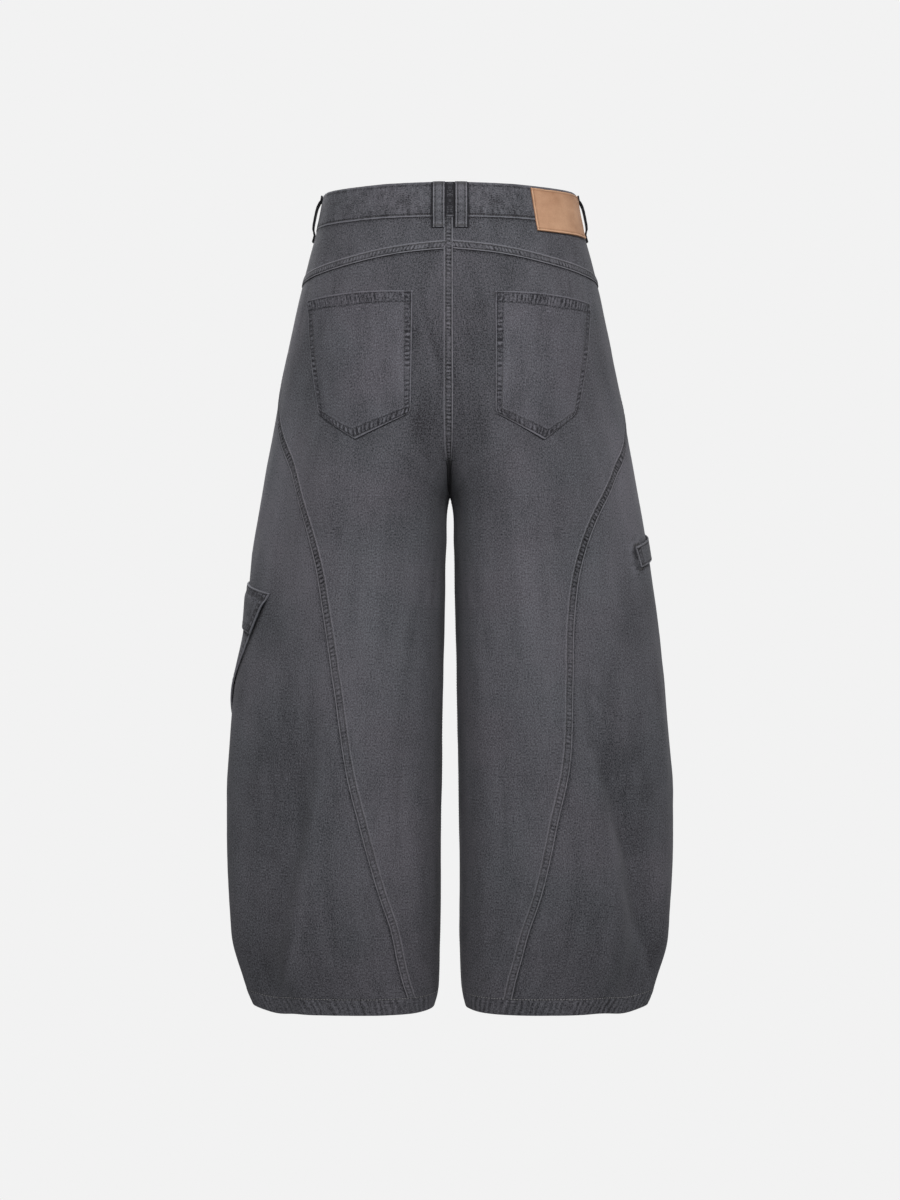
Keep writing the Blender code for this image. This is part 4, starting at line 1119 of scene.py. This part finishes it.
def tool_loop(half):
    long, tall, rise = TOOL_LOOP["length"], TOOL_LOOP["tall"], TOOL_LOOP["rise"]

    def spot(a, d):
        across = 2.5 + a * (long - 2.5)
        up = tall * (0.5 - d) - 3.0
        z = TOOL_LOOP["z"] + across * rise + up
        return z, half.side_way(z) - TOOL_LOOP["rear"] + across - up * rise

    def lift(a, d):
        return ON_TOP + 1.3 * arch(np.clip((a * long - 6.0) / 98.0, 0, 1)) ** 0.6

    sewn_piece("cloth_tool_loop", half, spot, (long - 2.5, tall), 1.8, ((2.0, 9.0), (2.2,), (2.2,)), lift,
               1.8, SEAM, 181, rim=0.3)
    for d, start in ((-0.07, -0.02), (1.07, -0.05)):
        for row in (-0.04, 0.0, 0.04):
            sew_on("stitching_pockets", half, *spot(np.linspace(start, start + 0.13, 20), d + row), 0.5,
                   width=0.55, tall=0.4)


def leather_patch(half):
    (top, *top_ways), (low, *low_ways) = PATCH_ROWS

    def spot(a, d):
        left, right = (mix(start, end, d) for start, end in zip(top_ways, low_ways))
        return mix(top, low, d), mix(left, right, a)

    def extra(a, d, x, y):
        relief = (0.7 * np.exp(-(1 - d) * 52.0 / 5.0) * (0.6 + 0.4 * uneven(x / 20.0, 0.5, 191))
                  + 0.45 * uneven(x / 22.0, y / 9.0, 193) + 0.2 * uneven(x / 7.0, y / 5.0, 194))
        return relief, 0.30 * uneven(x / 18.0, y / 11.0, 195) - 0.25 * np.exp(-x / 1.2)

    sewn_piece("leather_patch_face", half, spot, (94.5, 52.5), 1.5, ((2.6,), (2.6,), (2.2,)),
               lambda a, d: BAND_RISE + 0.45, 1.5, LEATHER, 197, extra=extra, group="stitching_patch")


def fly_stitching(half):
    z = np.linspace(WAIST_SEAM - 2.0, -187.0, 300)
    for inset in (1.6, 8.0):
        wide = fly_edge(z, inset)
        keep = wide > 1.5
        sew_on("stitching_seams", half, z[keep], half.length(z[keep]) - wide[keep], 0.72)


for half in HALVES.values():
    for maker in (back_panel, front_panel, yoke, waistband, outside_seam, yoke_seam, inside_seam,
                  hem_band, back_pocket):
        maker(half)
    for where in ("back", "side", "front"):
        belt_loop(half, where)
centre_seam(HALVES[LEFT])
front_seam(HALVES[LEFT])
cargo_pocket(HALVES[LEFT])
cargo_flap(HALVES[LEFT])
tool_loop(HALVES[RIGHT])
leather_patch(HALVES[RIGHT])
fly_stitching(HALVES[LEFT])
for group, rows in STITCHES.items():
    points = np.concatenate(rows)
    faces = STITCH_FACES + len(points[0]) * np.arange(len(points))[:, None, None]
    make_object(group, points.reshape(-1, 3), faces.reshape(-1, 3).tolist(),
                {"stitching_patch": TAN_THREAD, "stitching_hems": HEM_THREAD}.get(group, THREAD))

for name, made in PIECES.items():
    node = name.removeprefix("cloth_").removesuffix("_face")
    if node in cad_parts:
        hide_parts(node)
    if name in ("leather_patch_face", "stitching_patch"):
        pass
    elif node.startswith(("back_pocket", "cargo")):
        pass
    else:
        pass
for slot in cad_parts["waist_button"].material_slots:
    slot.material = METAL


# Stage, light and camera

def backdrop():
    """Plain pale floor that curves up into a round wall, which doesn't light the garment."""
    floor, wall, top, bend, hole, count = -2.0, 6.0, 6.0, 1.8, 0.01, 64
    line = [(hole, floor)] + [(wall - bend + bend * math.sin(a), floor + bend * (1 - math.cos(a)))
                              for a in np.linspace(0.0, math.pi / 2, 12)] + [(wall, top), (hole, top)]
    points = [(r * math.cos(math.tau * k / count), r * math.sin(math.tau * k / count), z)
              for r, z in line for k in range(count)]
    faces = [(row * count + k, row * count + (k + 1) % count, (row + 1) * count + (k + 1) % count,
              (row + 1) * count + k) for row in range(len(line) - 1) for k in range(count)]
    faces += [tuple(range(count)), tuple(range(len(points) - count, len(points)))]
    data = bpy.data.meshes.new("backdrop")
    data.from_pydata(points, [], faces)
    data.shade_smooth()
    data.materials.append(new_material("pale_backdrop", {
        "Base Color": (0.0, 0.0, 0.0), "Roughness": 1.0, "Specular IOR Level": 0.0,
        "Emission Color": (1.0, 1.0, 1.0), "Emission Strength": 0.888})[0])
    made = link("backdrop", data)
    made.visible_diffuse = False
    made.visible_glossy = False
    made.visible_transmission = False
    made.visible_shadow = False


backdrop()
for name, place, target, size, power in (
        ("key", (0.15, -2.3, 1.2), (0.0, 0.0, -0.35), (1.0, 0.8), 50.0),
        ("fill_right", (2.3, -1.8, 0.3), (0.0, 0.0, -0.4), (1.4, 1.6), 8.0),
        ("fill_left", (-2.3, -1.8, 0.3), (0.0, 0.0, -0.4), (1.4, 1.6), 6.0),
        ("front_key", (-0.9, 2.2, 1.2), (0.0, 0.0, -0.35), (1.0, 0.8), 50.0),
        ("front_fill", (1.6, 2.4, -0.1), (0.0, 0.0, -0.5), (1.6, 1.6), 8.0)):
    data = bpy.data.lights.new(name, "AREA")
    data.shape = "RECTANGLE"
    data.size, data.size_y = size
    data.energy = power
    light = link(name, data)
    light.location = place
    x, y, z = np.subtract(target, place)
    light.rotation_euler = (math.atan2(math.hypot(x, y), -z), 0.0, math.atan2(-x, y))

world = bpy.data.worlds.new("studio")
world.use_nodes = True
put(world.node_tree, world.node_tree.nodes["Background"], {"Color": (1.0, 1.0, 1.0), "Strength": 0.33})
bpy.context.scene.world = world
bpy.context.scene.view_settings.view_transform = "Standard"

CAMERA_AWAY = 2.6
CAMERA_UP = -0.496
SEEN_TALL = 1.482
lens = bpy.data.cameras.new("camera")
lens.sensor_width = 36.0
lens.lens = 18.0 / (SEEN_TALL / 2 / CAMERA_AWAY)
camera = link("camera", lens)
camera.location = (0.0, -CAMERA_AWAY, CAMERA_UP)
camera.rotation_euler = (math.pi / 2, 0.0, 0.0)
bpy.context.scene.camera = camera
